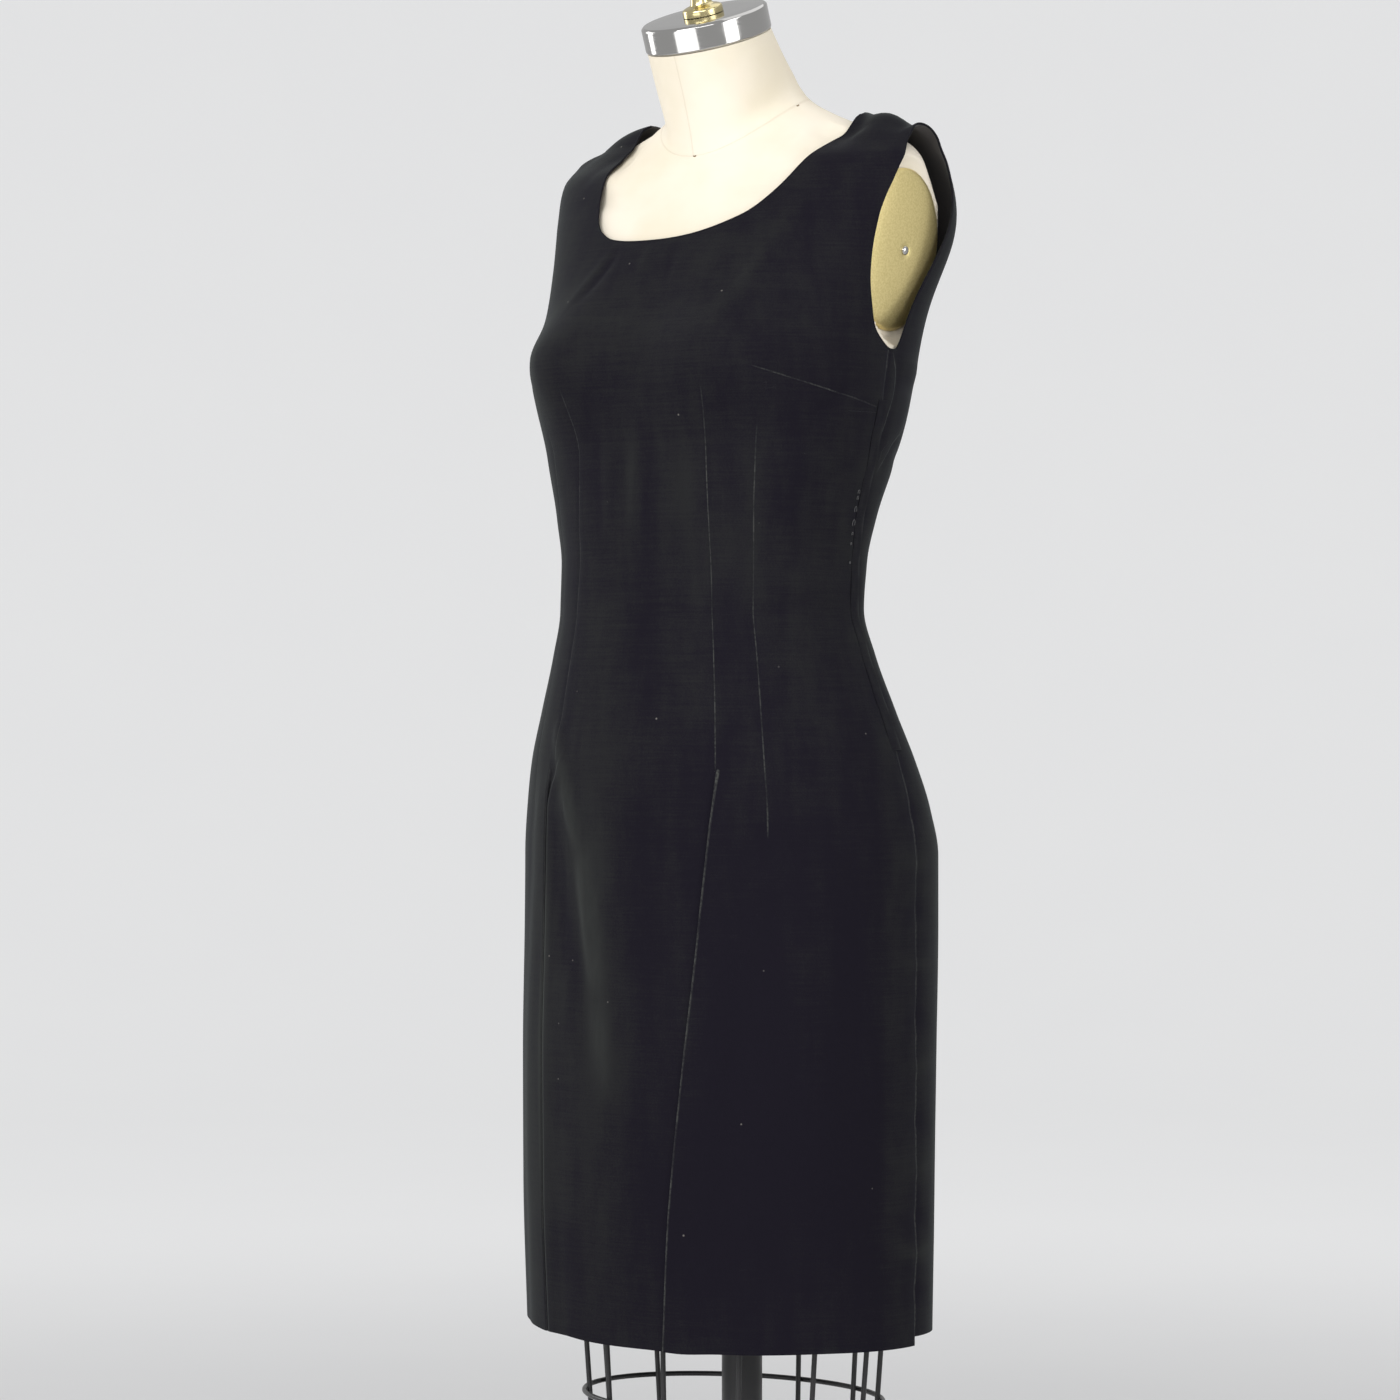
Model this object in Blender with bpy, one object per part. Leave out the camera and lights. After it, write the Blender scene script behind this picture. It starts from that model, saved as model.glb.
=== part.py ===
"""A sleeveless velvet dress worn by a limbless dress form on a stand.

Metres, +Z up. The front faces -Y and the wearer's left is +X. The origin is on the
floor, on the axis of the stand's pole.
"""

from math import atan2, cos, pi, radians, sin

import bmesh
import bpy
import numpy as np
from mathutils import Matrix, Vector

# Driving sizes
CLOTH = 0.0012  # velvet wall thickness
SEAM_GAP = 0.0007  # between two pieces that meet at a seam
SEAT_GAP = 0.0004  # between a hard piece and what it stands on
BODY_EASE = 0.0013  # least air between the cloth and the form below the shoulders
SHOULDER_EASE = 0.0014  # the same where the dress hangs
HEM_Z = 0.488
BLANK_TOP_Z = 1.4185

# Cloth sections: height, half width, centre, front and back depth, front and back power
SECTION_COLUMNS = ("z", "half_width", "centre_y", "front", "back", "front_power", "back_power")
DRESS_SECTIONS = (
    (0.488, 0.166, -0.012, 0.133, 0.097, 2.10, 2.2),
    (0.600, 0.167, -0.012, 0.140, 0.101, 2.10, 2.2),
    (0.700, 0.167, -0.012, 0.141, 0.107, 2.10, 2.2),
    (0.800, 0.167, -0.012, 0.137, 0.113, 2.10, 2.2),
    (0.850, 0.167, -0.012, 0.136, 0.113, 2.10, 2.2),
    (0.885, 0.163, -0.013, 0.137, 0.103, 2.10, 2.2),
    (0.920, 0.155, -0.016, 0.134, 0.090, 2.15, 2.2),
    (0.958, 0.143, -0.019, 0.127, 0.073, 2.20, 2.2),
    (1.000, 0.129, -0.023, 0.117, 0.063, 2.30, 2.2),
    (1.035, 0.121, -0.026, 0.110, 0.059, 2.35, 2.2),
    (1.070, 0.121, -0.025, 0.109, 0.067, 2.35, 2.2),
    (1.105, 0.125, -0.024, 0.111, 0.078, 2.40, 2.3),
    (1.150, 0.134, -0.021, 0.111, 0.096, 2.60, 2.4),
    (1.190, 0.141, -0.018, 0.116, 0.104, 2.70, 2.5),
    (1.225, 0.145, -0.016, 0.118, 0.110, 2.60, 2.5),
    (1.260, 0.148, -0.012, 0.110, 0.112, 2.40, 2.5),
    (1.300, 0.154, -0.006, 0.098, 0.110, 2.30, 2.5),
    (1.340, 0.162, 0.001, 0.084, 0.101, 2.20, 2.4),
    (1.370, 0.166, 0.008, 0.070, 0.083, 2.15, 2.2),
    (1.386, 0.161, 0.014, 0.050, 0.060, 2.05, 2.1),
    (1.396, 0.145, 0.016, 0.037, 0.048, 2.00, 2.0),
    (1.404, 0.127, 0.016, 0.032, 0.042, 2.00, 2.0),
    (1.412, 0.104, 0.015, 0.029, 0.038, 2.00, 2.0),
    (1.4185, 0.078, 0.014, 0.028, 0.035, 2.00, 2.0),
)
BUST = {"angle": 31.5, "z": 1.222, "rise": 0.021, "angle_spread": 20.0, "z_spread": 0.042}
# The back's armhole edge stands away from the form: place, height and spread of the lift
GAPE = {"angle": 20.0, "z": 1.314, "rise": 0.0100, "angle_spread": 18.0, "z_spread": 0.054}

# The front skirt's two released pleats: height, edge's place across, depth folded under
PLEAT_COLUMNS = ("z", "edge_x", "depth")
LEFT_PLEAT = (
    (0.488, 0.032, 0.024),
    (0.600, 0.042, 0.022),
    (0.730, 0.056, 0.017),
    (0.850, 0.069, 0.010),
    (0.920, 0.077, 0.004),
)
RIGHT_PLEAT = (
    (0.488, -0.080, 0.022),
    (0.600, -0.084, 0.020),
    (0.730, -0.085, 0.015),
    (0.850, -0.082, 0.009),
    (0.920, -0.078, 0.004),
)
PLEAT_RELEASE_Z = 0.935  # a pleat starts to open out of its dart here
PLEAT_BLEND = 0.050  # and is open this far below
PLEAT_STACK = 0.0048  # height of the folded edge over the centre panel
PLEAT_RUN = 0.034  # length of cloth beside the edge that lifts over the fold

# Rings of points up the dress: low height, high height, rings between them
DRESS_RINGS = (
    (HEM_Z, 0.890, 11),
    (0.890, 0.950, 4),
    (0.950, 1.200, 10),
    (1.200, 1.360, 9),
    (1.360, 1.396, 5),
    (1.396, BLANK_TOP_Z, 5),
)
SIDE_STATIONS = 5  # points on the front between a side seam and a pleat
CENTRE_STATIONS = 7  # and between the two pleats
BACK_STATIONS = 21


def table(rows, columns):
    """A table of rows as one array for each named column."""
    return dict(zip(columns, np.array(rows, float).T))


DRESS = table(DRESS_SECTIONS, SECTION_COLUMNS)


def smooth_step(t):
    t = np.clip(t, 0.0, 1.0)
    return t * t * (3.0 - 2.0 * t)


def along(xs, ys, x):
    """Monotone cubic interpolation of the column ys over the rising column xs."""
    x = np.clip(np.asarray(x, float), xs[0], xs[-1])
    step = np.diff(xs)
    slope = np.diff(ys) / step
    tangent = np.concatenate([slope[:1], np.zeros(len(xs) - 2), slope[-1:]])
    for i in range(1, len(xs) - 1):
        if slope[i - 1] * slope[i] > 0:
            after = 2 * step[i] + step[i - 1]
            before = step[i] + 2 * step[i - 1]
            tangent[i] = (after + before) / (after / slope[i - 1] + before / slope[i])
    i = np.clip(np.searchsorted(xs, x) - 1, 0, len(step) - 1)
    t = (x - xs[i]) / step[i]
    return (
        (1 + 2 * t) * (1 - t) ** 2 * ys[i]
        + t * (1 - t) ** 2 * step[i] * tangent[i]
        + t * t * (3 - 2 * t) * ys[i + 1]
        + t * t * (t - 1) * step[i] * tangent[i + 1]
    )


def section_radius(angle, z, sections):
    """Distance from a section's centre to its edge. Angle 0 is the wearer's left, 90 the back."""
    size = {name: along(sections["z"], sections[name], z) for name in SECTION_COLUMNS[1:]}
    c, s = np.cos(angle), np.sin(angle)
    depth = np.where(s < 0, size["front"], size["back"])
    power = np.where(s < 0, size["front_power"], size["back_power"])
    across = np.abs(c) / size["half_width"]
    return (across**power + (np.abs(s) / depth) ** power) ** (-1 / power)


def rise_at(places, size, angle, z):
    """The lift of a rounded swelling that is repeated at several angles."""
    rise = 0.0
    for place in places:
        turn = (np.degrees(angle) - place + 180.0) % 360.0 - 180.0
        across = turn / size["angle_spread"]
        up = (z - size["z"]) / size["z_spread"]
        rise = rise + size["rise"] * np.exp(-(across**2) - up**2)
    return rise


def bust_rise(angle, z):
    """How far the two bust cups stand out of the plain section."""
    return rise_at((-90.0 - BUST["angle"], -90.0 + BUST["angle"]), BUST, angle, z)


def dress_radius(angle, z):
    gape = rise_at((GAPE["angle"], 180.0 - GAPE["angle"]), GAPE, angle, z)
    return section_radius(angle, z, DRESS) + bust_rise(angle, z) + gape


def dress_point(angle, z, out=0.0):
    """A point of the cloth's middle surface, moved out from the section's centre."""
    angle, z = np.broadcast_arrays(np.asarray(angle, float), np.asarray(z, float))
    radius = dress_radius(angle, z) + out
    centre = along(DRESS["z"], DRESS["centre_y"], z)
    return np.stack([radius * np.cos(angle), centre + radius * np.sin(angle), z], -1)


def angle_at(x, z, front=True):
    """The angle at which the front or back cloth reaches the place x at one height."""
    sign = -1.0 if front else 1.0
    angles = np.linspace(0.02, pi - 0.02, 240)
    places = dress_point(sign * angles, z)[:, 0]
    return sign * float(np.interp(-x, -places, angles))


def fold_path(depth, stack, run):
    """Cloth through one knife pleat, from the side panel to the centre panel.

    Each point is (along, out): along is positive towards the side panel and 0 at the
    folded edge, and out is the height over the centre panel.
    """
    turn = stack / 4
    return (
        (run, 0.0),
        (0.45 * run, 0.55 * stack),
        (0.0, stack),
        (-turn, 0.75 * stack),
        (0.0, 0.5 * stack),
        (depth, 0.5 * stack),
        (depth + turn, 0.25 * stack),
        (depth, 0.0),
        (0.35 * depth, -0.1 * stack),
        (-0.5 * run, 0.0),
    )


def pleat_stations(z, pleat):
    """The (angle, out) of each point of a pleat at one height, from side panel to centre."""
    rows = table(pleat, PLEAT_COLUMNS)
    edge_x = float(along(rows["z"], rows["edge_x"], z))
    depth = float(along(rows["z"], rows["depth"], z))
    measured_z = min(z, rows["z"][-1])
    edge = angle_at(edge_x, measured_z)
    radius = float(dress_radius(edge, measured_z))
    side = 1.0 if edge_x > 0 else -1.0
    folded = np.array(fold_path(depth, PLEAT_STACK, PLEAT_RUN))
    flat = np.zeros_like(folded)
    flat[:, 0] = np.linspace(folded[0, 0], folded[-1, 0], len(folded))
    opened = smooth_step((PLEAT_RELEASE_Z - z) / PLEAT_BLEND)
    path = (1 - opened) * flat + opened * folded
    return [(edge + side * t / radius, out) for t, out in path]


def spread(start, end, count):
    """Count angles strictly between start and end."""
    return list(np.linspace(start, end, count + 2)[1:-1])


def front_row(z):
    """Points of the front's middle surface at one height, left side seam to right side seam."""
    left = pleat_stations(z, LEFT_PLEAT)
    right = pleat_stations(z, RIGHT_PLEAT)[::-1]
    seam = 0.5 * SEAM_GAP / float(dress_radius(0.0, z))
    stations = [(-seam, 0.0)]
    stations += [(a, 0.0) for a in spread(-seam, left[0][0], SIDE_STATIONS)] + left
    stations += [(a, 0.0) for a in spread(left[-1][0], right[0][0], CENTRE_STATIONS)] + right
    stations += [(a, 0.0) for a in spread(right[-1][0], seam - pi, SIDE_STATIONS)]
    stations += [(seam - pi, 0.0)]
    angles, outs = np.array(stations).T
    return dress_point(angles, z, outs)


def back_row(z):
    """Points of the back's middle surface at one height, right side seam to left side seam."""
    seam = 0.5 * SEAM_GAP / float(dress_radius(0.0, z))
    angles = np.linspace(pi - seam, seam, BACK_STATIONS)
    return dress_point(angles, z)


def ring_heights():
    """Heights of the rings of points: wide on the skirt, close over the shoulder."""
    heights = [HEM_Z]
    for low, high, count in DRESS_RINGS:
        heights += list(np.linspace(low, high, count + 1)[1:])
    return heights


def wall_from_grid(name, grid, thickness):
    """A closed wall round a grid of middle points [row, column], half its thickness each way."""
    down = np.gradient(grid, axis=0)
    side = np.gradient(grid, axis=1)
    normal = np.cross(side, down)
    normal /= np.linalg.norm(normal, axis=2, keepdims=True)
    outer, inner = grid + normal * thickness / 2, grid - normal * thickness / 2
    rows, columns = grid.shape[:2]
    mesh = bmesh.new()
    out = [[mesh.verts.new(p) for p in row] for row in outer]
    back = [[mesh.verts.new(p) for p in row] for row in inner]
    for i in range(rows - 1):
        for j in range(columns - 1):
            mesh.faces.new((out[i][j], out[i][j + 1], out[i + 1][j + 1], out[i + 1][j]))
            mesh.faces.new((back[i][j], back[i + 1][j], back[i + 1][j + 1], back[i][j + 1]))
    for j in range(columns - 1):
        mesh.faces.new((out[0][j], back[0][j], back[0][j + 1], out[0][j + 1]))
        mesh.faces.new((out[-1][j], out[-1][j + 1], back[-1][j + 1], back[-1][j]))
    for i in range(rows - 1):
        mesh.faces.new((out[i][0], out[i + 1][0], back[i + 1][0], back[i][0]))
        mesh.faces.new((out[i][-1], back[i][-1], back[i + 1][-1], out[i + 1][-1]))
    return finish_mesh(name, mesh)


def finish_mesh(name, mesh, smooth=True):
    """The bmesh as a linked object with outward normals."""
    bmesh.ops.recalc_face_normals(mesh, faces=mesh.faces)
    data = bpy.data.meshes.new(name)
    mesh.to_mesh(data)
    mesh.free()
    if smooth:
        data.shade_smooth()
        data.set_sharp_from_angle(angle=radians(40))
    made = bpy.data.objects.new(name, data)
    bpy.context.scene.collection.objects.link(made)
    return made


# Cut edges: the necklines seen from the front as (x, z), wearer's right to left
FRONT_NECKLINE = (
    (-0.0935, 1.4300),
    (-0.0935, 1.4000),
    (-0.0915, 1.3800),
    (-0.0890, 1.3635),
    (-0.0834, 1.3435),
    (-0.0750, 1.3270),
    (-0.0610, 1.3170),
    (-0.0454, 1.3130),
    (-0.0244, 1.3115),
    (0.0037, 1.3120),
    (0.0279, 1.3155),
    (0.0500, 1.3225),
    (0.0681, 1.3320),
    (0.0847, 1.3500),
    (0.0951, 1.3690),
    (0.1020, 1.3880),
    (0.1040, 1.4085),
    (0.1040, 1.4300),
)
BACK_NECKLINE = (
    (-0.0935, 1.4300),
    (-0.0925, 1.4120),
    (-0.0800, 1.3960),
    (-0.0600, 1.3840),
    (-0.0300, 1.3775),
    (0.0050, 1.3760),
    (0.0400, 1.3775),
    (0.0700, 1.3840),
    (0.0900, 1.3960),
    (0.1030, 1.4120),
    (0.1040, 1.4300),
)
# One armhole seen from the side as (y, z), round from the underarm by the front
ARMHOLE = (
    (-0.0080, 1.2280),
    (-0.0200, 1.2300),
    (-0.0350, 1.2420),
    (-0.0401, 1.2600),
    (-0.0428, 1.2775),
    (-0.0425, 1.2950),
    (-0.0400, 1.3130),
    (-0.0357, 1.3310),
    (-0.0280, 1.3490),
    (-0.0180, 1.3680),
    (-0.0040, 1.3840),
    (0.0120, 1.3925),
    (0.0270, 1.3890),
    (0.0380, 1.3760),
    (0.0440, 1.3580),
    (0.0440, 1.3395),
    (0.0400, 1.3200),
    (0.0320, 1.3005),
    (0.0225, 1.2820),
    (0.0125, 1.2630),
    (0.0040, 1.2450),
    (-0.0020, 1.2330),
)
ARMHOLE_INNER_X = 0.100  # the armhole cutters start here and reach outwards
CUTTER_REACH = 0.300


def curve_through(points, closed=False, per_span=3):
    """A smooth run through a few points, by a Catmull-Rom spline."""
    p = np.array(points, float)
    if closed:
        p = np.vstack([p[-1], p, p[:2]])
    else:
        p = np.vstack([2 * p[0] - p[1], p, 2 * p[-1] - p[-2]])
    run = []
    for i in range(1, len(p) - 2):
        for t in np.arange(per_span) / per_span:
            a = 2 * p[i]
            b = p[i + 1] - p[i - 1]
            c = 2 * p[i - 1] - 5 * p[i] + 4 * p[i + 1] - p[i + 2]
            d = -p[i - 1] + 3 * p[i] - 3 * p[i + 1] + p[i + 2]
            run.append(0.5 * (a + b * t + c * t**2 + d * t**3))
    return np.array(run if closed else run + [p[-2]])


def prism(name, outline, reach, axis):
    """A cutter: an outline pushed along one axis over the range given as reach."""
    mesh = bmesh.new()
    place = {"x": lambda u, v, w: (w, u, v), "y": lambda u, v, w: (u, w, v)}[axis]
    ends = [[mesh.verts.new(place(u, v, w)) for u, v in outline] for w in reach]
    mesh.faces.new(ends[0])
    mesh.faces.new(ends[1][::-1])
    for i in range(len(outline)):
        j = (i + 1) % len(outline)
        mesh.faces.new((ends[0][i], ends[1][i], ends[1][j], ends[0][j]))
    cutter = finish_mesh(name, mesh, smooth=False)
    cutter.hide_render = True
    cutter.display_type = "WIRE"
    return cutter


def boolean(target, cutter, operation):
    modifier = target.modifiers.new(operation.title(), "BOOLEAN")
    modifier.operation = operation
    modifier.solver = "EXACT"
    modifier.object = cutter


def material(name, colour, roughness, metallic=0.0):
    made = bpy.data.materials.new(name)
    made.use_nodes = True
    shader = made.node_tree.nodes["Principled BSDF"]
    shader.inputs["Base Color"].default_value = (*colour, 1.0)
    shader.inputs["Roughness"].default_value = roughness
    shader.inputs["Metallic"].default_value = metallic
    return made


def build_dress(velvet):
    """Front with two released pleats, and back, each cut from a blank by its pattern outline."""
    heights = ring_heights()
    front = wall_from_grid("dress_front", np.array([front_row(z) for z in heights]), CLOTH)
    back = wall_from_grid("dress_back", np.array([back_row(z) for z in heights]), CLOTH)
    armhole = curve_through(ARMHOLE, closed=True)
    left_arm = prism("left_armhole", armhole, (ARMHOLE_INNER_X, CUTTER_REACH), "x")
    right_arm = prism("right_armhole", armhole, (-CUTTER_REACH, -ARMHOLE_INNER_X), "x")
    for panel, neckline in ((front, FRONT_NECKLINE), (back, BACK_NECKLINE)):
        outline = curve_through(neckline)
        neck = prism(f"{panel.name}_neckline", outline, (-CUTTER_REACH, CUTTER_REACH), "y")
        for cutter in (neck, left_arm, right_arm):
            boolean(panel, cutter, "DIFFERENCE")
        panel.data.materials.append(velvet)


ZIP_LOW_Z = 0.930
ZIP_HIGH_Z = 1.190
ZIP_LAP_WIDTH = 0.012
ZIP_LAP_THICKNESS = 0.0010
ZIP_LAP_LIFT = 0.0005  # air between the panels and the lap
ZIP_LAP_STATIONS = 5


def build_side_zip(velvet):
    """The lap that covers the closed zip in the left side seam, made from the seam's points."""
    out = CLOTH / 2 + ZIP_LAP_LIFT + ZIP_LAP_THICKNESS / 2
    rows = []
    for z in ring_heights():
        if ZIP_LOW_Z < z < ZIP_HIGH_Z:
            half = ZIP_LAP_WIDTH / 2 / float(dress_radius(0.0, z))
            rows.append(dress_point(np.linspace(half, -half, ZIP_LAP_STATIONS), z, out))
    lap = wall_from_grid("side_zip_lap", np.array(rows), ZIP_LAP_THICKNESS)
    lap.data.materials.append(velvet)


# The form's torso below the shoulders: the same columns as the cloth sections
TORSO_BOTTOM_Z = 0.800
FORM_SECTIONS = (
    (0.800, 0.161, -0.012, 0.130, 0.106, 2.10, 2.2),
    (0.850, 0.164, -0.012, 0.133, 0.110, 2.10, 2.2),
    (0.885, 0.159, -0.013, 0.132, 0.099, 2.10, 2.2),
    (0.920, 0.149, -0.016, 0.127, 0.085, 2.15, 2.2),
    (0.958, 0.136, -0.019, 0.119, 0.067, 2.20, 2.2),
    (1.000, 0.121, -0.023, 0.107, 0.056, 2.30, 2.2),
    (1.035, 0.113, -0.026, 0.100, 0.052, 2.35, 2.2),
    (1.070, 0.113, -0.025, 0.100, 0.060, 2.35, 2.2),
    (1.105, 0.119, -0.024, 0.104, 0.072, 2.40, 2.3),
    (1.150, 0.130, -0.021, 0.107, 0.090, 2.60, 2.4),
    (1.190, 0.138, -0.018, 0.114, 0.101, 2.70, 2.5),
    (1.225, 0.142, -0.016, 0.117, 0.107, 2.60, 2.5),
    (1.260, 0.145, -0.012, 0.108, 0.108, 2.40, 2.5),
    (1.300, 0.150, -0.006, 0.095, 0.105, 2.30, 2.5),
    (1.340, 0.154, 0.001, 0.080, 0.094, 2.20, 2.4),
)
FORM = table(FORM_SECTIONS, SECTION_COLUMNS)

# Sloping rings over the shoulders and up the neck
NECK_COLUMNS = ("front_y", "front_z", "back_y", "back_z", "half_width", "side_z")
NECK_RINGS = (
    (-0.0735, 1.3500, 0.0900, 1.3600, 0.1545, 1.3560),
    (-0.0705, 1.3570, 0.0830, 1.3750, 0.1520, 1.3710),
    (-0.0685, 1.3620, 0.0760, 1.3870, 0.1440, 1.3820),
    (-0.0665, 1.3670, 0.0690, 1.3970, 0.1240, 1.3900),
    (-0.0655, 1.3710, 0.0620, 1.4060, 0.0990, 1.3990),
    (-0.0645, 1.3740, 0.0560, 1.4130, 0.0780, 1.4075),
    (-0.0640, 1.3765, 0.0500, 1.4200, 0.0620, 1.4155),
    (-0.0640, 1.3800, 0.0440, 1.4290, 0.0535, 1.4225),
    (-0.0660, 1.3900, 0.0360, 1.4420, 0.0495, 1.4310),
    (-0.0750, 1.4180, 0.0180, 1.4640, 0.0490, 1.4460),
    (-0.0880, 1.4500, 0.0020, 1.4846, 0.0475, 1.4673),
)
TORSO_RING_HEIGHTS = (*np.linspace(TORSO_BOTTOM_Z, 1.19, 16), *np.linspace(1.215, 1.340, 7))
RING_POINTS = 36
BARE_NECK = 0.066  # the form is bare inside this distance from its middle
UNDER_STRAP = 0.080  # and lies under the straps outside this one


def ring_angles():
    return np.linspace(0.0, 2 * pi, RING_POINTS, endpoint=False)


def room_inside(angle, z, ease):
    """The largest radius that stays this far inside the cloth, measured square to it."""
    step = 0.0005
    slope = (dress_radius(angle, z + step) - dress_radius(angle, z - step)) / (2 * step)
    return dress_radius(angle, z) - (CLOTH / 2 + ease) * np.sqrt(1 + slope**2)


def form_ring(z):
    """A level ring of the torso, kept inside the cloth."""
    angle = ring_angles()
    radius = section_radius(angle, z, FORM) + bust_rise(angle, z)
    radius = np.minimum(radius, room_inside(angle, z, BODY_EASE))
    centre = along(DRESS["z"], DRESS["centre_y"], z)
    x, y = radius * np.cos(angle), centre + radius * np.sin(angle)
    return np.stack([x, y, np.full(RING_POINTS, z)], -1)


def neck_ring(row):
    """A sloping ring over the shoulders or round the neck."""
    front_y, front_z, back_y, back_z, half_width, side_z = row
    angle = ring_angles()
    c, s = np.cos(angle), np.sin(angle)
    middle_y, middle_z = (front_y + back_y) / 2, (front_z + back_z) / 2
    x = half_width * c
    y = middle_y + (back_y - front_y) / 2 * s
    z = middle_z + (back_z - front_z) / 2 * s + (side_z - middle_z) * c * c
    centre = along(DRESS["z"], DRESS["centre_y"], z)
    radius = np.hypot(x, y - centre)
    room = room_inside(np.arctan2(y - centre, x), z, SHOULDER_EASE)
    under_strap = smooth_step((np.abs(x) - BARE_NECK) / (UNDER_STRAP - BARE_NECK))
    shrink = 1 - under_strap * (1 - np.minimum(1.0, room / radius))
    return np.stack([x * shrink, centre + (y - centre) * shrink, z], -1)


def loft(name, rings):
    """A closed solid through rings of equal length, capped at both ends."""
    mesh = bmesh.new()
    loops = [[mesh.verts.new(p) for p in ring] for ring in rings]
    for low, high in zip(loops, loops[1:]):
        for i in range(len(low)):
            j = (i + 1) % len(low)
            mesh.faces.new((low[i], low[j], high[j], high[i]))
    mesh.faces.new(loops[0][::-1])
    mesh.faces.new(loops[-1])
    return finish_mesh(name, mesh)


ARM_PLATE_CENTRE = Vector((0.1375, 0.005, 1.3045))
ARM_PLATE_LEAN = radians(9)  # the plate faces a little downwards
ARM_PLATE_TURN = radians(8)  # and a little forwards
ARM_PLATE_HALF_HEIGHT = 0.0610
ARM_PLATE_HALF_DEPTH = 0.0435
ARM_PLATE_RIM = 0.0022
ARM_PLATE_DOME = 0.0075
ARM_FLAT_SIZE = 1.02  # the form's flat under a plate, against the plate
ARM_FLAT_REACH = 0.060
PLATE_POINTS = 32


def plate_frame(side):
    """Place of one arm plate: local z points out of the armhole and local y up."""
    level = Vector((side * cos(ARM_PLATE_TURN), -sin(ARM_PLATE_TURN), 0))
    out = cos(ARM_PLATE_LEAN) * level + Vector((0, 0, -sin(ARM_PLATE_LEAN)))
    up = sin(ARM_PLATE_LEAN) * level + Vector((0, 0, cos(ARM_PLATE_LEAN)))
    across = up.cross(out)
    centre = Vector((side * ARM_PLATE_CENTRE.x, ARM_PLATE_CENTRE.y, ARM_PLATE_CENTRE.z))
    return Matrix.Translation(centre) @ Matrix((across, up, out)).transposed().to_4x4()


def build_torso(muslin):
    rings = [form_ring(z) for z in TORSO_RING_HEIGHTS] + [neck_ring(row) for row in NECK_RINGS]
    torso = loft("form_torso", rings)
    torso.data.materials.append(muslin)
    for side, label in ((1, "left"), (-1, "right")):
        half_size = (ARM_FLAT_SIZE * ARM_PLATE_HALF_DEPTH, ARM_FLAT_SIZE * ARM_PLATE_HALF_HEIGHT)
        cutter = dome(f"{label}_arm_flat", half_size, ARM_FLAT_REACH, ARM_PLATE_DOME, 1, PLATE_POINTS)
        cutter.matrix_world = plate_frame(side)
        cutter.hide_render = True
        cutter.display_type = "WIRE"
        boolean(torso, cutter, "DIFFERENCE")


def dome(name, half_size, rim, rise, rings, points):
    """An oval dome with a flat underside at local z 0."""
    mesh = bmesh.new()
    turn = [2 * pi * i / points for i in range(points)]

    def oval(scale, z):
        wide, high = scale * half_size[0], scale * half_size[1]
        return [mesh.verts.new((wide * cos(a), high * sin(a), z)) for a in turn]

    loops = [oval(1.0, 0.0), oval(1.0, rim)]
    for k in range(1, rings):
        bend = pi / 2 * k / rings
        loops.append(oval(cos(bend), rim + rise * sin(bend)))
    for low, high in zip(loops, loops[1:]):
        for i in range(points):
            j = (i + 1) % points
            mesh.faces.new((low[i], low[j], high[j], high[i]))
    mesh.faces.new(loops[0][::-1])
    top = mesh.verts.new((0, 0, rim + rise))
    for i in range(points):
        mesh.faces.new((loops[-1][i], loops[-1][(i + 1) % points], top))
    return finish_mesh(name, mesh)


SCREW_RADIUS = 0.0035
SCREW_RIM = 0.0006
SCREW_RISE = 0.0020


def build_arm_plates(gold, steel):
    for side, label in ((1, "left"), (-1, "right")):
        half_size = (ARM_PLATE_HALF_DEPTH, ARM_PLATE_HALF_HEIGHT)
        plate = dome(f"arm_plate_{label}", half_size, ARM_PLATE_RIM, ARM_PLATE_DOME, 5, PLATE_POINTS)
        plate.matrix_world = plate_frame(side) @ Matrix.Translation((0, 0, SEAT_GAP))
        plate.data.materials.append(gold)
        half_size = (SCREW_RADIUS, SCREW_RADIUS)
        screw = dome(f"arm_screw_{label}", half_size, SCREW_RIM, SCREW_RISE, 3, 12)
        top = ARM_PLATE_RIM + ARM_PLATE_DOME + 2 * SEAT_GAP
        screw.matrix_world = plate_frame(side) @ Matrix.Translation((0, 0, top))
        screw.data.materials.append(steel)


def turned(name, profile, points, place=None):
    """A solid turned about its own z axis from a (radius, height) profile, bottom to top."""
    mesh = bmesh.new()
    turn = [2 * pi * i / points for i in range(points)]
    loops = [[mesh.verts.new((r * cos(a), r * sin(a), z)) for a in turn] for r, z in profile]
    for low, high in zip(loops, loops[1:]):
        for i in range(points):
            j = (i + 1) % points
            mesh.faces.new((low[i], low[j], high[j], high[i]))
    mesh.faces.new(loops[0][::-1])
    mesh.faces.new(loops[-1])
    made = finish_mesh(name, mesh)
    if place is not None:
        made.matrix_world = place
    return made


# Turned profiles, as (radius, height) from the bottom up
NECK_CAP_RADIUS = 0.0487
NECK_CAP_HEIGHT = 0.0200
NECK_CAP_PROFILE = (
    (NECK_CAP_RADIUS - 0.0012, 0.0),
    (NECK_CAP_RADIUS, 0.0012),
    (NECK_CAP_RADIUS, NECK_CAP_HEIGHT - 0.0018),
    (NECK_CAP_RADIUS - 0.0018, NECK_CAP_HEIGHT),
)
NECK_KNOB_PROFILE = (
    (0.0155, 0.0),
    (0.0155, 0.0050),
    (0.0125, 0.0065),
    (0.0085, 0.0075),
    (0.0070, 0.0140),
    (0.0090, 0.0180),
    (0.0120, 0.0240),
    (0.0120, 0.0290),
    (0.0090, 0.0340),
    (0.0040, 0.0362),
)


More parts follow.
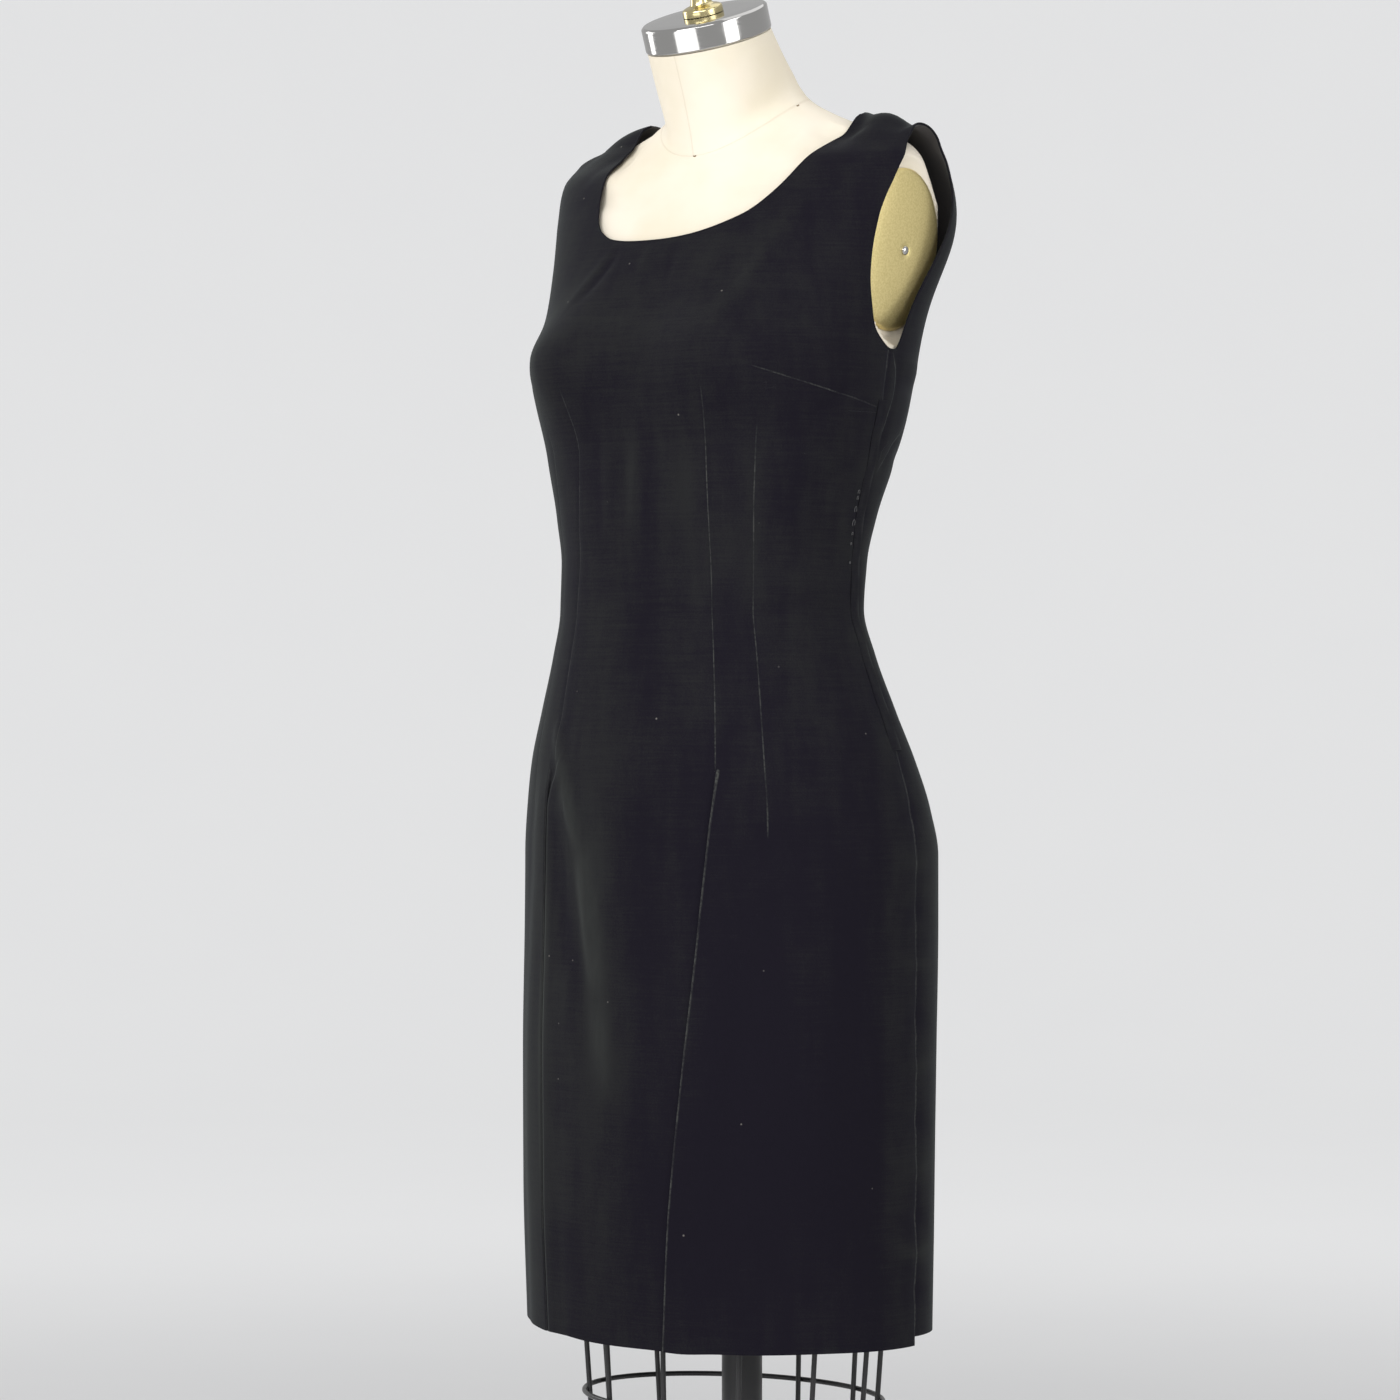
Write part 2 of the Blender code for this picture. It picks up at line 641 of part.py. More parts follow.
def neck_frame():
    """The place of the neck's flat top: local z is square to it."""
    row = dict(zip(NECK_COLUMNS, NECK_RINGS[-1]))
    tilt = atan2(row["back_z"] - row["front_z"], row["back_y"] - row["front_y"])
    centre = ((row["front_y"] + row["back_y"]) / 2, (row["front_z"] + row["back_z"]) / 2)
    return Matrix.Translation((0, centre[0], centre[1])) @ Matrix.Rotation(tilt, 4, "X")


def build_neck_top(steel, brass):
    seat = neck_frame() @ Matrix.Translation((0, 0, SEAT_GAP))
    turned("neck_cap", NECK_CAP_PROFILE, 40, seat).data.materials.append(steel)
    seat = seat @ Matrix.Translation((0, 0, NECK_CAP_HEIGHT + SEAT_GAP))
    turned("neck_knob", NECK_KNOB_PROFILE, 24, seat).data.materials.append(brass)


CAGE_TOP_Z = TORSO_BOTTOM_Z - SEAT_GAP
CAGE_BOTTOM_Z = 0.350
CAGE_RING_HEIGHTS = (0.350, 0.436, 0.620)
CAGE_WIRE = 0.0020  # wire radius
CAGE_RODS = 12
CAGE_RING_POINTS = 24  # two for each rod, so that every rod meets a ring at a corner
CAGE_TOP_SIZE = (0.1510, 0.0980)  # half width and half depth at the torso
CAGE_LOW_SIZE = (0.1120, 0.0860)  # the same at the lowest ring
CAGE_CENTRE_Y = -0.0125
CAGE_FIRST_ROD = radians(30)
CAGE_ROD_END = 0.004  # the rods run this far below the lowest ring
CAGE_RING_SEAT = 0.0005  # air between the rods and the rings outside them


def cage_point(angle, z, out=0.0):
    """A point on the tapering oval that the cage's rods lie on."""
    share = (z - CAGE_BOTTOM_Z) / (CAGE_TOP_Z - CAGE_BOTTOM_Z)
    half_width = CAGE_LOW_SIZE[0] + share * (CAGE_TOP_SIZE[0] - CAGE_LOW_SIZE[0]) + out
    half_depth = CAGE_LOW_SIZE[1] + share * (CAGE_TOP_SIZE[1] - CAGE_LOW_SIZE[1]) + out
    return Vector((half_width * cos(angle), CAGE_CENTRE_Y + half_depth * sin(angle), z))


def wire(name, points, closed):
    """A round wire along a run of points."""
    curve = bpy.data.curves.new(name, "CURVE")
    curve.dimensions = "3D"
    curve.bevel_depth = CAGE_WIRE
    curve.bevel_resolution = 1
    curve.use_fill_caps = True
    spline = curve.splines.new("POLY")
    spline.points.add(len(points) - 1)
    for point, place in zip(spline.points, points):
        point.co = (*place, 1.0)
    spline.use_cyclic_u = closed
    made = bpy.data.objects.new(name, curve)
    bpy.context.scene.collection.objects.link(made)
    return made


def build_cage(black):
    """Twelve straight rods from the torso's underside, bound outside by level rings."""
    for i in range(CAGE_RODS):
        angle = CAGE_FIRST_ROD + 2 * pi * i / CAGE_RODS
        ends = [cage_point(angle, CAGE_BOTTOM_Z - CAGE_ROD_END), cage_point(angle, CAGE_TOP_Z)]
        wire(f"cage_rod_{i + 1:02d}", ends, False).data.materials.append(black)
    beside = 2 * CAGE_WIRE + CAGE_RING_SEAT
    turn = [2 * pi * k / CAGE_RING_POINTS for k in range(CAGE_RING_POINTS)]
    for i, z in enumerate(CAGE_RING_HEIGHTS):
        ring = [cage_point(a, z, beside) for a in turn]
        wire(f"cage_ring_{i + 1}", ring, True).data.materials.append(black)


POLE_RADIUS = 0.0155
POLE_SLOT_WIDTH = 0.0030
POLE_SLOT_DEPTH = 0.0018
POLE_SLOT_FACING = radians(-60)
BASE_RADIUS = 0.2400
BASE_TOP_Z = 0.0330
BASE_PROFILE = (
    (BASE_RADIUS - 0.004, 0.0),
    (BASE_RADIUS, 0.004),
    (BASE_RADIUS, 0.012),
    (BASE_RADIUS - 0.006, 0.018),
    (0.150, 0.0265),
    (0.060, BASE_TOP_Z),
)
HUB_HEIGHT = 0.0500
HUB_PROFILE = (
    (0.034, 0.0),
    (0.034, 0.006),
    (0.028, HUB_HEIGHT - 0.004),
    (0.024, HUB_HEIGHT),
)


def build_stand(black):
    """A low domed foot, its hub, and a pole with one narrow slot up its front."""
    turned("stand_base", BASE_PROFILE, 48).data.materials.append(black)
    hub_z = BASE_TOP_Z + SEAT_GAP
    turned("stand_hub", HUB_PROFILE, 32, Matrix.Translation((0, 0, hub_z))).data.materials.append(black)
    low = hub_z + HUB_HEIGHT + SEAT_GAP
    high = TORSO_BOTTOM_Z - SEAT_GAP
    half_slot = POLE_SLOT_WIDTH / 2 / POLE_RADIUS
    around = np.linspace(POLE_SLOT_FACING + half_slot, POLE_SLOT_FACING + 2 * pi - half_slot, 25)
    section = [(POLE_RADIUS * cos(a), POLE_RADIUS * sin(a)) for a in around]
    floor = POLE_RADIUS - POLE_SLOT_DEPTH
    for a in (POLE_SLOT_FACING - half_slot, POLE_SLOT_FACING + half_slot):
        section.append((floor * cos(a), floor * sin(a)))
    pole = loft("stand_pole", [[(x, y, z) for x, y in section] for z in (low, high)])
    pole.data.materials.append(black)


def main():
    for thing in list(bpy.data.objects):
        bpy.data.objects.remove(thing)
    velvet = material("velvet", (0.012, 0.012, 0.016), 0.9)
    muslin = material("muslin", (0.83, 0.76, 0.62), 0.85)
    gold = material("gold_paint", (0.52, 0.42, 0.16), 0.45, 0.6)
    brass = material("brass", (0.66, 0.50, 0.20), 0.3, 1.0)
    steel = material("brushed_steel", (0.60, 0.60, 0.60), 0.35, 1.0)
    black = material("black_enamel", (0.015, 0.015, 0.015), 0.4)
    build_dress(velvet)
    build_side_zip(velvet)
    build_torso(muslin)
    build_arm_plates(gold, steel)
    build_neck_top(steel, brass)
    build_cage(black)
    build_stand(black)


main()
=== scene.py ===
"""The velvet dress on its form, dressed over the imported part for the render."""

from math import atan2, cos, exp, hypot, pi, radians, sin

import bpy
import numpy as np
from mathutils import Matrix, Vector


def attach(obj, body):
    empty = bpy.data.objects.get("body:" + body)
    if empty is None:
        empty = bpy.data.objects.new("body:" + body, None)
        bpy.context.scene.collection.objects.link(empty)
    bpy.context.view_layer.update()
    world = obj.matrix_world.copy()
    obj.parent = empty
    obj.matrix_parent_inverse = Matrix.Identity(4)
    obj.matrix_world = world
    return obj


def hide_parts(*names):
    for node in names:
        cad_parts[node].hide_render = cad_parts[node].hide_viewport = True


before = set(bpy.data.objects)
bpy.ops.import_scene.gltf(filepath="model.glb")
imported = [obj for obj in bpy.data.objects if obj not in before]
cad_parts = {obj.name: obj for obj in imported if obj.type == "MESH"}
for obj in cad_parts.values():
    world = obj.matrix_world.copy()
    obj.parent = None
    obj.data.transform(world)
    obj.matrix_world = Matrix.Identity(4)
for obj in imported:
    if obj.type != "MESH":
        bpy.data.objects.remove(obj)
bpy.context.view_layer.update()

# ---------------------------------------------------------------- sizes of the dress

CLOTH = 0.0012
SEAM_GAP = 0.0001
HEM_Z = 0.488
TOP_Z = 1.4185

SECTION_COLUMNS = ("z", "half_width", "centre_y", "front", "back", "front_power", "back_power")
DRESS_SECTIONS = (
    (0.488, 0.166, -0.012, 0.133, 0.097, 2.10, 2.2),
    (0.600, 0.167, -0.012, 0.140, 0.101, 2.10, 2.2),
    (0.700, 0.167, -0.012, 0.141, 0.107, 2.10, 2.2),
    (0.800, 0.167, -0.012, 0.137, 0.113, 2.10, 2.2),
    (0.850, 0.167, -0.012, 0.136, 0.113, 2.10, 2.2),
    (0.885, 0.163, -0.013, 0.137, 0.103, 2.10, 2.2),
    (0.920, 0.155, -0.016, 0.134, 0.090, 2.15, 2.2),
    (0.958, 0.143, -0.019, 0.127, 0.073, 2.20, 2.2),
    (1.000, 0.129, -0.023, 0.117, 0.063, 2.30, 2.2),
    (1.035, 0.121, -0.026, 0.110, 0.059, 2.35, 2.2),
    (1.070, 0.121, -0.025, 0.109, 0.067, 2.35, 2.2),
    (1.105, 0.125, -0.024, 0.111, 0.078, 2.40, 2.3),
    (1.150, 0.134, -0.021, 0.111, 0.096, 2.60, 2.4),
    (1.190, 0.141, -0.018, 0.116, 0.104, 2.70, 2.5),
    (1.225, 0.145, -0.016, 0.118, 0.110, 2.60, 2.5),
    (1.260, 0.148, -0.012, 0.110, 0.112, 2.40, 2.5),
    (1.300, 0.154, -0.006, 0.098, 0.110, 2.30, 2.5),
    (1.340, 0.162, 0.001, 0.084, 0.101, 2.20, 2.4),
    (1.370, 0.166, 0.008, 0.070, 0.083, 2.15, 2.2),
    (1.386, 0.161, 0.014, 0.050, 0.060, 2.05, 2.1),
    (1.396, 0.145, 0.016, 0.037, 0.048, 2.00, 2.0),
    (1.404, 0.127, 0.016, 0.032, 0.042, 2.00, 2.0),
    (1.412, 0.104, 0.015, 0.029, 0.038, 2.00, 2.0),
    (1.4185, 0.078, 0.014, 0.028, 0.035, 2.00, 2.0),
)
BUST = {"angle": 31.5, "z": 1.222, "rise": 0.021, "angle_spread": 20.0, "z_spread": 0.042}
BLADE = {"angle": 25.0, "z": 1.326, "rise": 0.0130, "angle_spread": 20.0, "z_spread": 0.052}

PLEAT_COLUMNS = ("z", "edge_x", "depth")
# Each pleat's "line" adds millimetres to the distance from its fold's crest, so its painted sheen line
# shows fainter
LEFT_PLEAT = {
    "rows": (
        (0.488, 0.032, 0.024),
        (0.600, 0.042, 0.022),
        (0.730, 0.056, 0.017),
        (0.850, 0.067, 0.010),
        (0.920, 0.077, 0.004),
    ),
    "swell": ((-0.0012, 0.10), (-0.0030, 0.24), (-0.0060, 0.16), (-0.0110, 0.05), (-0.017, 0.0)),
    "line": 0.0,
}
RIGHT_PLEAT = {
    "rows": (
        (0.488, -0.087, 0.022),
        (0.600, -0.087, 0.020),
        (0.730, -0.0875, 0.015),
        (0.850, -0.088, 0.009),
        (0.920, -0.082, 0.004),
    ),
    "swell": ((-0.0019, 0.50), (-0.0030, 0.82), (-0.0056, 0.80), (-0.0110, 0.45), (-0.024, 0.0)),
    "line": 1.1,
}
PLEAT_RELEASE_Z = 0.935
PLEAT_BLEND = 0.050
PLEAT_STACK = 0.0028
PLEAT_FALL = 0.022
PLEAT_CREST = 11  # number of the fold's crest among its points

FRONT_NECKLINE = (
    (-0.0935, 1.4300),
    (-0.0935, 1.4000),
    (-0.0915, 1.3800),
    (-0.0890, 1.3635),
    (-0.0834, 1.3435),
    (-0.0750, 1.3270),
    (-0.0610, 1.3170),
    (-0.0454, 1.3130),
    (-0.0244, 1.3115),
    (0.0037, 1.3120),
    (0.0279, 1.3155),
    (0.0500, 1.3225),
    (0.0681, 1.3320),
    (0.0847, 1.3500),
    (0.0951, 1.3690),
    (0.1020, 1.3880),
    (0.1040, 1.4085),
    (0.1040, 1.4300),
)
BACK_NECKLINE = (
    (-0.0935, 1.4300),
    (-0.0925, 1.4120),
    (-0.0800, 1.3960),
    (-0.0600, 1.3840),
    (-0.0300, 1.3775),
    (0.0050, 1.3760),
    (0.0400, 1.3775),
    (0.0700, 1.3840),
    (0.0900, 1.3960),
    (0.1030, 1.4120),
    (0.1040, 1.4300),
)
ARMHOLE = (
    (-0.0080, 1.2280),
    (-0.0200, 1.2300),
    (-0.0350, 1.2420),
    (-0.0401, 1.2600),
    (-0.0428, 1.2775),
    (-0.0425, 1.2950),
    (-0.0400, 1.3130),
    (-0.0357, 1.3310),
    (-0.0280, 1.3490),
    (-0.0180, 1.3680),
    (-0.0040, 1.3840),
    (0.0120, 1.3925),
    (0.0270, 1.3890),
    (0.0380, 1.3760),
    (0.0440, 1.3580),
    (0.0440, 1.3395),
    (0.0400, 1.3200),
    (0.0320, 1.3005),
    (0.0225, 1.2820),
    (0.0125, 1.2630),
    (0.0040, 1.2450),
    (-0.0020, 1.2330),
)

# ---------------------------------------------------------------- surface of the dress


def table(rows, columns):
    """A table of rows as one array for each named column."""
    return dict(zip(columns, np.array(rows, float).T))


DRESS = table(DRESS_SECTIONS, SECTION_COLUMNS)


def smooth_step(t):
    t = np.clip(t, 0.0, 1.0)
    return t * t * (3.0 - 2.0 * t)


def along(xs, ys, x):
    """Monotone cubic interpolation of the column ys over the rising column xs."""
    x = np.clip(np.asarray(x, float), xs[0], xs[-1])
    step = np.diff(xs)
    slope = np.diff(ys) / step
    tangent = np.concatenate([slope[:1], np.zeros(len(xs) - 2), slope[-1:]])
    for i in range(1, len(xs) - 1):
        if slope[i - 1] * slope[i] > 0:
            after = 2 * step[i] + step[i - 1]
            before = step[i] + 2 * step[i - 1]
            tangent[i] = (after + before) / (after / slope[i - 1] + before / slope[i])
    i = np.clip(np.searchsorted(xs, x) - 1, 0, len(step) - 1)
    t = (x - xs[i]) / step[i]
    return (
        (1 + 2 * t) * (1 - t) ** 2 * ys[i]
        + t * (1 - t) ** 2 * step[i] * tangent[i]
        + t * t * (3 - 2 * t) * ys[i + 1]
        + t * t * (t - 1) * step[i] * tangent[i + 1]
    )


def section_radius(angle, z, sections):
    """Distance from a section's centre to its edge. Angle 0 is the wearer's left, 90 the back."""
    size = {name: along(sections["z"], sections[name], z) for name in SECTION_COLUMNS[1:]}
    c, s = np.cos(angle), np.sin(angle)
    depth = np.where(s < 0, size["front"], size["back"])
    power = np.where(s < 0, size["front_power"], size["back_power"])
    across = np.abs(c) / size["half_width"]
    return (across**power + (np.abs(s) / depth) ** power) ** (-1 / power)


def rise_at(places, size, angle, z):
    """The lift of a rounded swelling that is repeated at several angles."""
    rise = 0.0
    for place in places:
        turn = (np.degrees(angle) - place + 180.0) % 360.0 - 180.0
        across = turn / size["angle_spread"]
        up = (z - size["z"]) / size["z_spread"]
        rise = rise + size["rise"] * np.exp(-(across**2) - up**2)
    return rise


def bust_rise(angle, z):
    return rise_at((-90.0 - BUST["angle"], -90.0 + BUST["angle"]), BUST, angle, z)


def blade_rise(angle, z):
    return rise_at((BLADE["angle"], 180.0 - BLADE["angle"]), BLADE, angle, z)


def dress_radius(angle, z):
    return section_radius(angle, z, DRESS) + bust_rise(angle, z) + blade_rise(angle, z)


def dress_point(angle, z, out=0.0):
    """A point of the cloth's middle surface, moved out from the section's centre."""
    angle, z = np.broadcast_arrays(np.asarray(angle, float), np.asarray(z, float))
    radius = dress_radius(angle, z) + out
    centre = along(DRESS["z"], DRESS["centre_y"], z)
    return np.stack([radius * np.cos(angle), centre + radius * np.sin(angle), z], -1)


def angle_at(x, z, front=True):
    """The angle at which the front or back cloth reaches the place x at one height."""
    sign = -1.0 if front else 1.0
    angles = np.linspace(0.02, pi - 0.02, 240)
    places = dress_point(sign * angles, z)[:, 0]
    return sign * float(np.interp(-x, -places, angles))


# ---------------------------------------------------------------- creases and seam lines

ARC = 0.145  # metres of cloth for each radian, where creases are measured

# Soft creases, each a run from one (degrees, height) to another, with its half width and rise
CREASE_COLUMNS = ("from_deg", "from_z", "to_deg", "to_z", "half_width", "rise")
FRONT_CREASES = (
    (-26.0, 1.348, -37.5, 1.310, 0.010, -0.0011),
    (-37.5, 1.310, -56.0, 1.237, 0.010, -0.0016),
    (-31.0, 1.352, -63.0, 1.240, 0.009, 0.0012),
    (-114.0, 1.306, -122.0, 1.266, 0.006, -0.0015),
    (-118.0, 1.305, -128.0, 1.262, 0.006, 0.0009),
    (-84.0, 1.308, -83.0, 1.278, 0.007, -0.0009),
    (-96.0, 1.309, -99.0, 1.284, 0.007, 0.0007),
    (-154.0, 1.210, -174.0, 1.112, 0.007, 0.0016),
    (-149.0, 1.200, -166.0, 1.112, 0.008, -0.0012),
    (-105.0, 1.196, -103.0, 1.085, 0.007, 0.0011),
    (-99.0, 1.180, -96.0, 1.090, 0.007, -0.0010),
    (-92.5, 1.178, -90.5, 1.080, 0.007, 0.0011),
    (-84.0, 1.170, -85.0, 1.100, 0.008, -0.0008),
    (-67.5, 1.170, -66.5, 1.092, 0.006, 0.0009),
    (-124.0, 0.952, -116.0, 0.905, 0.007, 0.0020),
    (-117.5, 0.922, -109.3, 0.855, 0.007, 0.0030),
    (-109.3, 0.862, -99.8, 0.745, 0.009, 0.0030),
    (-100.5, 0.752, -94.5, 0.665, 0.011, 0.0018),
    (-124.0, 0.900, -114.0, 0.760, 0.011, -0.0022),
    (-115.0, 0.860, -103.0, 0.690, 0.010, -0.0014),
    (-136.0, 0.830, -138.0, 0.580, 0.012, 0.0012),
    (-67.5, 0.752, -62.0, 0.752, 0.0025, -0.0006),
    (-120.0, 1.052, -74.0, 1.046, 0.006, -0.0007),
    (-104.0, 1.030, -64.0, 1.034, 0.006, -0.0006),
    (-50.0, 1.028, -20.0, 1.040, 0.007, -0.0007),
    (-38.0, 1.058, -8.0, 1.050, 0.007, 0.0006),
    (-44.6, 0.878, -46.0, 0.840, 0.007, -0.0014),
    (-38.0, 0.850, -30.0, 0.600, 0.014, 0.0012),
    (-24.0, 0.880, -20.0, 0.620, 0.012, -0.0011),
    (-52.0, 0.800, -58.0, 0.560, 0.012, -0.0010),
    (-10.0, 1.212, -30.0, 1.172, 0.006, -0.0012),
    (-6.0, 1.150, -26.0, 1.122, 0.007, -0.0010),
    (-15.0, 1.398, -24.0, 1.360, 0.006, -0.0012),
    (-32.0, 1.398, -34.0, 1.366, 0.006, 0.0010),
    (-160.0, 1.398, -152.0, 1.362, 0.006, -0.0012),
)
BACK_CREASES = (
    (2.0, 1.231, 24.0, 1.229, 0.005, -0.0014),
    (4.0, 1.206, 26.0, 1.198, 0.006, -0.0013),
    (6.0, 1.218, 30.0, 1.214, 0.006, 0.0011),
    (8.0, 1.162, 34.0, 1.140, 0.008, -0.0011),
    (60.0, 1.062, 118.0, 1.050, 0.007, -0.0016),
    (70.0, 1.030, 126.0, 1.038, 0.007, -0.0015),
    (56.0, 1.010, 96.0, 1.018, 0.006, 0.0012),
    (110.0, 1.086, 150.0, 1.072, 0.007, -0.0012),
    (30.0, 1.044, 62.0, 1.034, 0.007, 0.0012),
    (74.0, 1.340, 62.0, 1.260, 0.010, -0.0013),
    (106.0, 1.336, 120.0, 1.250, 0.010, -0.0012),
    (90.0, 1.358, 91.0, 1.290, 0.010, 0.0008),
    (72.0, 0.860, 66.0, 0.620, 0.012, -0.0020),
    (104.0, 0.850, 112.0, 0.580, 0.013, -0.0019),
    (88.0, 0.830, 86.0, 0.560, 0.012, 0.0018),
    (140.0, 0.860, 146.0, 0.640, 0.012, 0.0016),
    (34.0, 0.880, 28.0, 0.640, 0.012, 0.0016),
    (50.0, 0.820, 46.0, 0.560, 0.012, -0.0016),
    (160.0, 0.840, 163.0, 0.580, 0.012, -0.0013),
)
# Short puckers drawn in along a side seam
PUCKER_COLUMNS = ("z", "reach", "rise")
SEAM_PUCKERS = (
    (1.190, 0.016, 0.0006),
    (1.164, 0.012, -0.0006),
    (1.138, 0.018, 0.0007),
    (1.106, 0.014, -0.0007),
    (1.078, 0.017, 0.0006),
    (1.049, 0.012, -0.0007),
    (1.012, 0.016, 0.0007),
    (0.971, 0.013, -0.0006),
    (0.932, 0.017, 0.0006),
    (0.884, 0.014, -0.0008),
    (0.846, 0.019, 0.0008),
    (0.812, 0.013, -0.0007),
    (0.770, 0.018, 0.0009),
    (0.731, 0.014, -0.0008),
    (0.694, 0.020, 0.0008),
    (0.655, 0.013, -0.0009),
    (0.618, 0.019, 0.0009),
    (0.584, 0.015, -0.0011),
    (0.556, 0.022, 0.0012),
    (0.528, 0.014, -0.0010),
)
PUCKER_HALF_HEIGHT = 0.0075
PUCKER_SLANT = 0.25
SEAM_PINCH = 0.0007
SEAM_PINCH_HALF_WIDTH = 0.0035

# Lifts of the straps over the shoulder, square to the cloth
STRAP_COLUMNS = ("x", "y", "x_spread", "y_spread", "rise")
STRAP_LIFTS = (
    (0.108, -0.005, 0.009, 0.026, -0.0046),
    (0.128, 0.001, 0.012, 0.024, 0.0050),
    (0.154, 0.012, 0.0060, 0.020, 0.0072),
    (0.128, -0.026, 0.0035, 0.014, -0.0012),
    (0.141, -0.030, 0.0045, 0.012, 0.0012),
    (-0.104, -0.010, 0.012, 0.026, 0.0022),
    (-0.118, -0.002, 0.012, 0.022, 0.0024),
    (-0.150, 0.006, 0.0070, 0.014, 0.0010),
    (-0.138, 0.000, 0.0040, 0.016, -0.0012),
    (0.122, 0.036, 0.0045, 0.014, -0.0012),
    (-0.126, 0.036, 0.0045, 0.014, -0.0012),
)
STRAP_LOW_Z = 1.372
STRAP_FADE = 0.018

# Darts on the left side of the wearer, as (degrees, height) from one end to the other
INNER_DART = (
    (-62.8, 1.200),
    (-61.1, 1.143),
    (-59.4, 1.092),
    (-58.0, 1.040),
    (-58.1, 0.982),
    (-58.7, 0.915),
)
OUTER_DART = (
    (-45.2, 1.172),
    (-44.3, 1.114),
    (-43.6, 1.070),
    (-43.6, 1.011),
    (-44.4, 0.938),
    (-44.6, 0.865),
)
BUST_DART = ((-49.5, 1.212), (-36.9, 1.203), (-21.9, 1.194), (-0.5, 1.184))
ZIP_SIDE_FOLDS = (
    ((2.0, 1.229), (6.0, 1.205), (4.0, 1.176), (1.5, 1.146)),
    ((22.0, 1.230), (25.0, 1.202), (22.0, 1.176), (13.0, 1.160), (4.0, 1.136)),
)
BACK_DART = ((62.0, 1.215), (60.0, 1.120), (58.0, 1.035), (62.0, 0.950), (66.0, 0.880))


def mirrored(line):
    """The same line on the other side of the body."""
    return tuple(((-180.0 if degrees < 0 else 180.0) - degrees, z) for degrees, z in line)


def curve_through(points, closed=False, per_span=8):
    """A smooth run through a few points, by a Catmull-Rom spline."""
    p = np.array(points, float)
    if closed:
        p = np.vstack([p[-1], p, p[:2]])
    else:
        p = np.vstack([2 * p[0] - p[1], p, 2 * p[-1] - p[-2]])
    run = []
    for i in range(1, len(p) - 2):
        for t in np.arange(per_span) / per_span:
            a = 2 * p[i]
            b = p[i + 1] - p[i - 1]
            c = 2 * p[i - 1] - 5 * p[i] + 4 * p[i + 1] - p[i + 2]
            d = -p[i - 1] + 3 * p[i] - 3 * p[i + 1] + p[i + 2]
            run.append(0.5 * (a + b * t + c * t**2 + d * t**3))
    return np.array(run if closed else run + [p[-2]])


def to_cloth(line):
    """A run of (degrees, height) as flat cloth coordinates in metres."""
    line = np.array(line, float)
    return np.stack([np.radians(line[:, 0]) * ARC, line[:, 1]], 1)


def nearest_on_line(points, line):
    """For each flat point: signed distance to a polyline, and its share of the way along it."""
    start, end = line[:-1], line[1:]
    step = end - start
    length = np.linalg.norm(step, axis=1)
    total = np.concatenate([[0.0], np.cumsum(length)])
    to_start = points[:, None, :] - start[None]
    share = np.clip((to_start * step).sum(-1) / length**2, 0, 1)
    gap = to_start - share[..., None] * step
    distance = np.linalg.norm(gap, axis=-1)
    best = distance.argmin(1)
    rows = np.arange(len(points))
    cross = step[best, 0] * gap[rows, best, 1] - step[best, 1] * gap[rows, best, 0]
    sign = np.where(cross >= 0, 1.0, -1.0)
    way = (total[best] + share[rows, best] * length[best]) / total[-1]
    return sign * distance[rows, best], way


def creases(angle, z, rows):
    """The rise of every soft crease of one panel."""
    points = np.stack([angle.ravel() * ARC, z.ravel()], 1)
    rise = np.zeros(len(points))
    for row in rows:
        crease = dict(zip(CREASE_COLUMNS, row))
        ends = to_cloth(
            ((crease["from_deg"], crease["from_z"]), (crease["to_deg"], crease["to_z"]))
        )
        distance, way = nearest_on_line(points, ends)
        along_it = np.sin(np.clip(way, 0, 1) * pi) ** 0.7
        rise += crease["rise"] * along_it * np.exp(-((distance / crease["half_width"]) ** 2))
    return rise.reshape(angle.shape)


def puckers(angle, z):
    """Short drawn-in ripples each side of both side seams."""
    rise = np.zeros(angle.shape)
    for seam in (0.0, pi):
        turn = (angle - seam + pi) % (2 * pi) - pi
        reach = np.abs(turn) * ARC
        for row in SEAM_PUCKERS:
            pucker = dict(zip(PUCKER_COLUMNS, row))
            slant = PUCKER_SLANT * reach * np.sign(pucker["rise"])
            up = (z - pucker["z"] - slant) / PUCKER_HALF_HEIGHT
            rise += pucker["rise"] * np.exp(-(up**2) - (reach / pucker["reach"]) ** 2)
        rise -= SEAM_PINCH * np.exp(-((reach / SEAM_PINCH_HALF_WIDTH) ** 2))
    return rise


def strap_lift(place):
    """How far the straps stand up from their sections over the shoulder."""
    lift = np.zeros(place.shape[:-1])
    for row in STRAP_LIFTS:
        size = dict(zip(STRAP_COLUMNS, row))
        across = (place[..., 0] - size["x"]) / size["x_spread"]
        ahead = (place[..., 1] - size["y"]) / size["y_spread"]
        lift += size["rise"] * np.exp(-(across**2) - ahead**2)
    return lift * smooth_step((place[..., 2] - STRAP_LOW_Z) / STRAP_FADE)


FAR = 99.0  # millimetres, for a place with no seam near it
FAR_RANK = 199.0
DART_RUN_OUT = 0.03
DART_FADE = 0.010
DART_REACH = 0.010
DART_DEPTH = 0.0007
DART_HALF_WIDTH = 3.2  # millimetres


